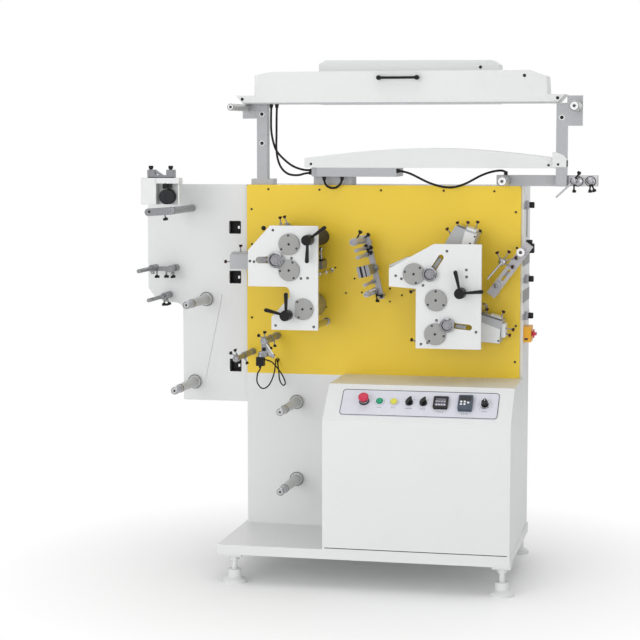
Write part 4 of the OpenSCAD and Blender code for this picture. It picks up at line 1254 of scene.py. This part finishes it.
@dataclass
class Spindles:
    """Grooves and bright ends of the four web spindles, which turn with them."""

    nodes: tuple[tuple[str, Body, float], ...] = (
        ("wing_spindle_upper", Body.WING_UPPER, 20.0), ("wing_spindle_lower", Body.WING_LOWER, 20.0),
        ("body_spindle_upper", Body.BODY_UPPER, 0.0), ("body_spindle_lower", Body.BODY_LOWER, 0.0),
    )
    grooves: tuple[Pair, ...] = ((12.4, 12.9), (42.4, 13.2), (66, 15.1))

    def build(self) -> None:
        """Makes the dark grooves and the bright collar of every spindle, and a ring on its flange."""
        back = -FRONT
        rings = Shape("spindle_flange_rings")
        for node, body, face in self.nodes:
            low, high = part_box(node)
            tip = Vector(((low.x + high.x) / 2, low.y, (low.z + high.z) / 2))
            dark = Shape(node + "_grooves")
            for along, radius in self.grooves:
                wide = radius + 0.7
                dark.turn(tip, back, [(radius, along), (wide, along + 0.3), (wide, along + 2.6)], 40)
            dark.turn(tip, back, [(6.2, 0.3), (6.2, 8), (0, 8)], 24).done(Finish.DARK, body)
            sleeve = [
                (6, 8), (6, 0.4), (12, 0.4), (14, 2.4), (14, 12), (12.8, 12.4), (12.8, 15), (14, 15.4),
                (14, 42), (13, 42.4), (13, 45), (14.6, 45.4), (14.6, 56), (12, 58),
            ]
            Shape(node + "_collar").turn(tip, back, sleeve, 40).done(Finish.CHROME, body)
            spot = Vector((tip.x, at(0, face, 0).y, tip.z))
            rings.turn(spot, FRONT, [(25.8, 13), (25.6, 14.6), (23.6, 14.6), (23.4, 13.8)], 48)
        rings.done(Finish.DARK)


@dataclass
class Wing:
    """Fittings on the wing plate."""

    latches: Pair = (-50.0, 20.0)
    latch_heights: tuple[float, ...] = (1233, 1050, 724)
    clamps: tuple[Point, ...] = ((-275, -28, 1082), (-338, -72, 1085), (-302, -34, 981))
    roller: Pair = (-235.0, 1351.0)

    def build(self) -> None:
        """Makes the latch keys, the rods' screws and the infeed unit."""
        keys = Shape("latch_keys")
        frames = Shape("latch_frames")
        for z in self.latch_heights:
            keys.block(at(-38, 14, z - 5), at(-31, 34, z + 5), 1)
            frame = face_frame(at(*self.latches, z), FRONT)
            frames.rim(frame, rounded(44, 47, 4), rounded(38, 39, 3), 1.0)
        keys.done(Finish.WHITE)
        frames.done(Finish.BLACK)
        self._infeed()
        stems = Shape("wing_clamp_bodies")
        for place in self.clamps:
            stems.turn(at(*place), -UP, [(9, 8), (7, 12), (7, 20), (5, 22), (0, 22)], 20)
        stems.turn(at(-212, -248, 1302), FRONT, [(13, 0), (12, 2), (6, 2), (5, 0), (0, 0.4)], 28)
        stems.done(Finish.CHROME)
        ThumbScrews("wing_screws", [
            (-324, -66, 1072, 0, 0, -1), (-293, -50, 1072, 0, 0, -1), (-274, -36, 1070, 0.2, 0, -1),
            (-304, -44, 968, 0, 0, -1), (-296, -30, 968, 0.4, 0, -1), (-240, -236, 1290, 0.2, 0, -1),
        ], 14, 10, Finish.BLACK, thick=9, width=3).build()
        cap = [(6, 0), (6, 4), (8.5, 5), (8.5, 14), (7.5, 15), (0, 15)]
        places = [(-295, -219, 1446), (-222, -219, 1446)]
        turned("infeed_clamp_heads", Finish.BLACK, places, cap, 24, UP)
        SocketScrews("infeed_screws", [(-294, -248, 1298), (-236, -240, 1395)], 4.6, 1.4).build()

    def _infeed(self) -> None:
        """Infeed unit: shallow housing on a carrying bar, with its roller, strap and clamps."""
        housing = Shape("infeed_housing").block(at(-327, -240, 1323), at(-271, -120, 1418), 1.2)
        housing.block(at(-271.5, -240, 1398), at(-185, -196, 1418), 1.2)
        housing.block(at(-194, -226, 1323), at(-189, -196, 1398.5), 0.6)
        housing.block(at(-271.5, -198, 1323), at(-190, -194, 1398.5), 0)
        housing.block(at(-325, -122, 1340), at(-285, 20, 1400), 1.2)
        x, z = self.roller
        drum = Shape("infeed_roller")
        drum.turn(at(x, -198, z), FRONT, [(0, 0), (24, 0), (27, 2), (27, 36), (24, 38), (0, 38)], 40)
        drum.turn(at(x, -236, z), FRONT, [(9, 0), (9, 1.4), (4, 1.4), (4, 0.6), (0, 0.6)], 24)
        nip = Shape("infeed_nip_block").block(at(-248, -236, 1379), at(-222, -198, 1398.4), 1)
        nip.block(at(-303, -234, 1417.5), at(-209, -200, 1421), 0)
        strap = Shape("infeed_strap").block(at(-305, -232, 1420), at(-207, -204, 1428), 0.8)
        for left, right in ((-305, -277), (-235, -207)):
            strap.block(at(left, -234, 1427), at(right, -204, 1447), 1.4)
        bridge = [(-278, 1446), (-278, 1436), (-262, 1428), (-250, 1428)]
        strap.press(face_frame(at(0, -208, 0), FRONT), bridge, 20, 0.6)
        rows = ((housing, Finish.LIGHT), (drum, Finish.RUBBER), (nip, Finish.BLACK), (strap, Finish.ZINC))
        for shape, finish in rows:
            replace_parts(shape.done(finish), "infeed_unit")


@dataclass
class Flank:
    """Fittings on the body's right side."""

    wall: float = 1009.4
    latch_heights: tuple[float, ...] = (1321, 1057, 925)
    vents: tuple[tuple[float, ...], ...] = ((6, 214, 1106, 1140), (6, 214, 974, 1018), (96, 126, 1204, 1304))

    def build(self) -> None:
        """Makes the latches' knobs and bands, a painted shade strip under each latch, the vents and the
        isolator's label.
        """
        knobs = Shape("side_latch_knobs")
        bands = Shape("side_latch_bands")
        painted_shade_strips = Shape("side_latch_painted_shade")
        for z in self.latch_heights:
            knobs.turn(at(1023.5, 70, z), RIGHT, [(10.6, 0), (11, 1), (11, 15), (9.6, 17), (0, 17)], 24)
            for front, back in ((84, 206), (4, 56)):
                bands.block(at(self.wall, front, z - 9), at(1013, back, z + 9), 0.8)
            # A dark strip painted as the shade that falls under each latch's bands.
            painted_shade_strips.block(at(self.wall, 4, z - 11.5), at(1011, 206, z - 9), 0)
        knobs.done(Finish.BLACK)
        bands.done(Finish.CHROME)
        painted_shade_strips.done(Finish.DARK)
        vents = [(self.wall, front, low, 1011.2, back, high) for front, back, low, high in self.vents]
        boxes("side_vent_plates", Finish.VENT, 0.4, *vents)
        boxes("isolator_label", Finish.DARK, 0, (1014, 29.2, 840, 1026, 30.2, 847))


class Dresser:
    """Gives every CAD node its finish and smooth shading."""

    crease: float = math.radians(24)
    spindle_end: float = 0.061
    finishes: dict[Finish, str] = {
        Finish.LIGHT: "base_tray levelling_feet body_shell gear_cover wing_plate wing_cover console_housing"
        " left_head_plate right_head_plate spindle_flanges front_hood rear_hood lower_hood infeed_unit",
        Finish.YELLOW: "front_plate",
        Finish.FOIL: "console_panel",
        Finish.CAP: "bearing_caps",
        Finish.GREY: "left_ink_box right_ink_boxes left_post right_post cross_beam junction_tray",
        Finish.BLACK: "wing_latches selector_left selector_right meter_counter speed_knob upper_left_lever"
        " lower_left_lever right_lever hood_handle",
        Finish.RED: "emergency_stop isolator_knob",
        Finish.GREEN: "start_button",
        Finish.AMBER: "stop_button",
        Finish.ORANGE: "isolator_box",
        Finish.SLATE: "timer_display",
        Finish.CHROME: "head_stays pressure_rings side_latches",
        Finish.STEEL: "head_rollers edge_sensor sensor_stand clamp_rods",
        Finish.SATIN: "guide_bar register_arm",
        Finish.ALUMINIUM: "wing_spindle_upper wing_spindle_lower body_spindle_upper body_spindle_lower"
        " left_top_roller right_top_roller beam_roller",
    }

    def __init__(self, nodes: dict[str, bpy.types.Object]) -> None:
        """Keeps the CAD objects by name."""
        self.nodes = nodes

    def dress(self) -> None:
        """Assigns the finishes, and paints the pieces of a node that aren't of its main material."""
        for finish, names in self.finishes.items():
            for name in names.split():
                data = self.nodes[name].data
                data.materials.clear()
                data.materials.append(Paints.get(finish))
                data.polygons.foreach_set("use_smooth", [True] * len(data.polygons))
                data.set_sharp_from_angle(angle=self.crease)
        self._patch("head_rollers", Finish.RUBBER, at(253, -200, 1174), at(313, -15, 1234))
        self._patch("sensor_stand", Finish.BLACK, at(84, -215, 750), at(116, -185, 783))
        for name, _, _ in Spindles.nodes:
            low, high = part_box(name)
            self._patch(name, Finish.CHROME, low, Vector((high.x, low.y + self.spindle_end, high.z)))

    def _patch(self, name: str, finish: Finish, low: Vector, high: Vector) -> None:
        """Gives the faces whose middles lie in a box a finish of their own.

        Args:
            name: Name of the CAD object.
            finish: Finish of the chosen faces.
            low: Lowest corner of the box in metres.
            high: Highest corner of the box in metres.
        """
        node = self.nodes[name]
        node.data.materials.append(Paints.get(finish))
        number = len(node.data.materials) - 1
        for face in node.data.polygons:
            middle = node.matrix_world @ face.center
            if all(low[i] < middle[i] < high[i] for i in range(3)):
                face.material_index = number


@dataclass
class Studio:
    """Camera, pale floor and soft light."""

    camera_spot: Point = (1688.9, -6548.7, 1556.7)
    yaw: float = 12.2
    pitch: float = 5.6
    lens: float = 104.06
    floor_reach: float = 30.0
    shadow_reach: Pair = (0.55, 1.35)
    world_light: float = 0.55
    seen_rays: tuple[str, ...] = ("Is Camera Ray", "Is Glossy Ray", "Is Transmission Ray")

    def build(self) -> None:
        """Makes the camera, the floor, the lamps and the world."""
        scene = bpy.context.scene
        scene.view_settings.view_transform = "Standard"
        yaw, pitch = math.radians(self.yaw), math.radians(self.pitch)
        way = Vector((-math.sin(yaw) * math.cos(pitch), math.cos(yaw) * math.cos(pitch), -math.sin(pitch)))
        data = bpy.data.cameras.new("camera")
        data.lens = self.lens
        data.sensor_width = 36.0
        data.clip_end = 200.0
        camera = bpy.data.objects.new("camera", data)
        self._aim(camera, at(*self.camera_spot), way)
        scene.camera = camera
        self._floor()
        self._lamp("key", (-3.0, -5.4, 2.3), 3.6, 82)
        self._lamp("fill", (3.6, -5.0, 1.1), 3.2, 40, 0.7)
        self._lamp("low", (-0.6, -5.8, 0.7), 3.2, 64, 0.2)
        self._lamp("top", (0.2, -0.8, 4.4), 3.4, 34)
        self._lamp("back", (0.6, 3.8, 2.6), 3.0, 30)
        self._world()

    @staticmethod
    def _aim(thing: bpy.types.Object, spot: Vector, way: Vector) -> None:
        """Places a camera or lamp in the scene.

        Args:
            thing: The camera or lamp.
            spot: Its place in metres.
            way: Direction in which it looks.
        """
        thing.location = spot
        thing.rotation_mode = "QUATERNION"
        thing.rotation_quaternion = way.to_track_quat("-Z", "Y")
        bpy.context.scene.collection.objects.link(thing)

    def _lamp(self, name: str, spot: Point, size: float, power: float, aim: float = 0.9) -> None:
        """Adds a square lamp.

        Args:
            name: Its name.
            spot: Its place in metres.
            size: Length of its side in metres.
            power: Power in watts.
            aim: Height of the point on the machine's middle at which it looks.
        """
        data = bpy.data.lights.new(name, "AREA")
        data.size = size
        data.energy = power
        lamp = bpy.data.objects.new(name, data)
        lamp.visible_glossy = name in ("top", "fill")
        self._aim(lamp, Vector(spot), Vector((0, 0, aim)) - Vector(spot))

    def _floor(self) -> None:
        """Adds a floor that keeps the shadow near the machine and is plain white beyond."""
        shape = bmesh.new()
        corners = oblong(-self.floor_reach, self.floor_reach, self.floor_reach)
        shape.faces.new([shape.verts.new((x, y, 0)) for x, y in corners])
        data = bpy.data.meshes.new("floor")
        shape.to_mesh(data)
        shape.free()
        shader = Shader("pale_floor")
        shader.set("Base Color", (0.97, 0.97, 0.97, 1.0))
        shader.set("Roughness", 0.8)
        reach = shader.node("ShaderNodeVectorMath", {"operation": "LENGTH"}, {0: shader.place()}, "Value")
        near, far = self.shadow_reach
        fade = shader.node("ShaderNodeMapRange", {}, {"Value": reach, "From Min": near, "From Max": far})
        path = shader.node("ShaderNodeLightPath", {}, {}, "Is Camera Ray")
        glow = shader.node("ShaderNodeEmission", {}, {"Color": (1, 1, 1, 1), "Strength": 1.0})
        plain = Wire(shader, shader.principled.outputs[0])
        both = shader.node("ShaderNodeMixShader", {}, {0: fade * path, 1: plain, 2: glow})
        shader.plug(shader.tree.nodes["Material Output"].inputs["Surface"], both)
        data.materials.append(shader.material)
        floor = bpy.data.objects.new("floor", data)
        bpy.context.scene.collection.objects.link(floor)

    def _world(self) -> None:
        """Gives a plain world: white where it is seen, and a softer light on the surfaces."""
        sky = Sky("studio")
        bpy.context.scene.world = sky.world
        seen: Wire | float = 0.0
        for ray in self.seen_rays:
            path = sky.node("ShaderNodeLightPath", {}, {}, ray)
            seen = sky.node("ShaderNodeMath", {"operation": "MAXIMUM"}, {0: seen, 1: path})
        sky.plug(sky.back.inputs["Color"], (1, 1, 1, 1))
        sky.plug(sky.back.inputs["Strength"], seen * (1.0 - self.world_light) + self.world_light)


def cables() -> list[Cable]:
    """Lists the machine's short cables, with the points that the CAD source gives them.

    Returns:
        The cables, in the order in which they are made.
    """
    under_hood, under_tray, at_tray_end, at_eye = (84, 1681), (267, 1421), (557, 1390), (114, 700)
    return [
        Cable("lamp_lead", "lamp_cable", under_hood, [
            (2, 31, -0.3), (1, 31, -14), (0, 32, -50), (0, 34, -92), (6, 34, -130), (20, 32, -168),
            (50, 28, -200), (84, 24, -224), (120, 20, -236), (146.7, 18, -238), (160.7, 18, -238),
        ]),
        Cable("power_lead", "power_cable", under_hood, [
            (25, 18, -0.3), (25, 18, -14), (24, 18, -52), (24, 16, -110), (24, 14, -160), (30, 12, -200),
            (46, 6, -232), (72, 2, -252), (106, 0, -256), (132.7, 0, -250), (148.7, 0, -248),
            (160.7, 0, -248),
        ]),
        Cable("loop_lead", "loop_cable", under_tray, [
            (25, -18, -0.3), (26, -18, -14), (32, -18, -30), (47, -18, -40), (66, -18, -40), (82, -18, -30),
            (90, -18, -14), (91, -18, -0.3),
        ]),
        Cable("outfeed_lead", "outfeed_cable", at_tray_end, [
            (0.3, -18, 52), (14, -18, 51), (50.05, -18, 42), (123.2, -18, 8), (188.65, -18, -6),
            (242.55, -18, 6), (300.3, -12, 36), (338.8, 2, 50), (369.6, 16, 54), (385, 20, 48),
            (385, 20, 38.3),
        ]),
        Cable("fibre_lead", "fibre_cable", at_eye, [
            (-16, -200, 51.7), (-16, -200, 40), (-26, -197, 22), (-32, -180, -10), (-22, -150, -36),
            (-8, -110, -32), (2, -74, 0), (2, -44, 35), (-3.2, -16, 50), (-3.2, -0.3, 50),
        ], 5.0, False),
        Cable("fibre_return", "fibre_return_cable", at_eye, [
            (0.3, -200, 74), (10, -198, 72), (22, -176, 62), (35, -140, 35), (45, -110, 6), (50, -90, -21),
            (41, -75, -33), (30, -64, -30), (19, -50, -15), (12, -32, 12), (6, -20, 34), (3.2, -12, 47),
            (3.2, -0.3, 50),
        ], 5.0, False),
    ]


def main() -> None:
    """Builds the camera and cables first and then each sub-assembly."""
    logging.basicConfig(level=logging.INFO, format="%(message)s")
    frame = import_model()
    Drawing.open()
    Studio().build()
    for cable in cables():
        cable.build()
    Dresser(frame["nodes"]).dress()
    for assembly in (FrontPlate, PrintHeads, Console, Heads, TopFrame, Wing, Flank, Spindles):
        assembly().build()


if __name__ == "__main__":
    main()
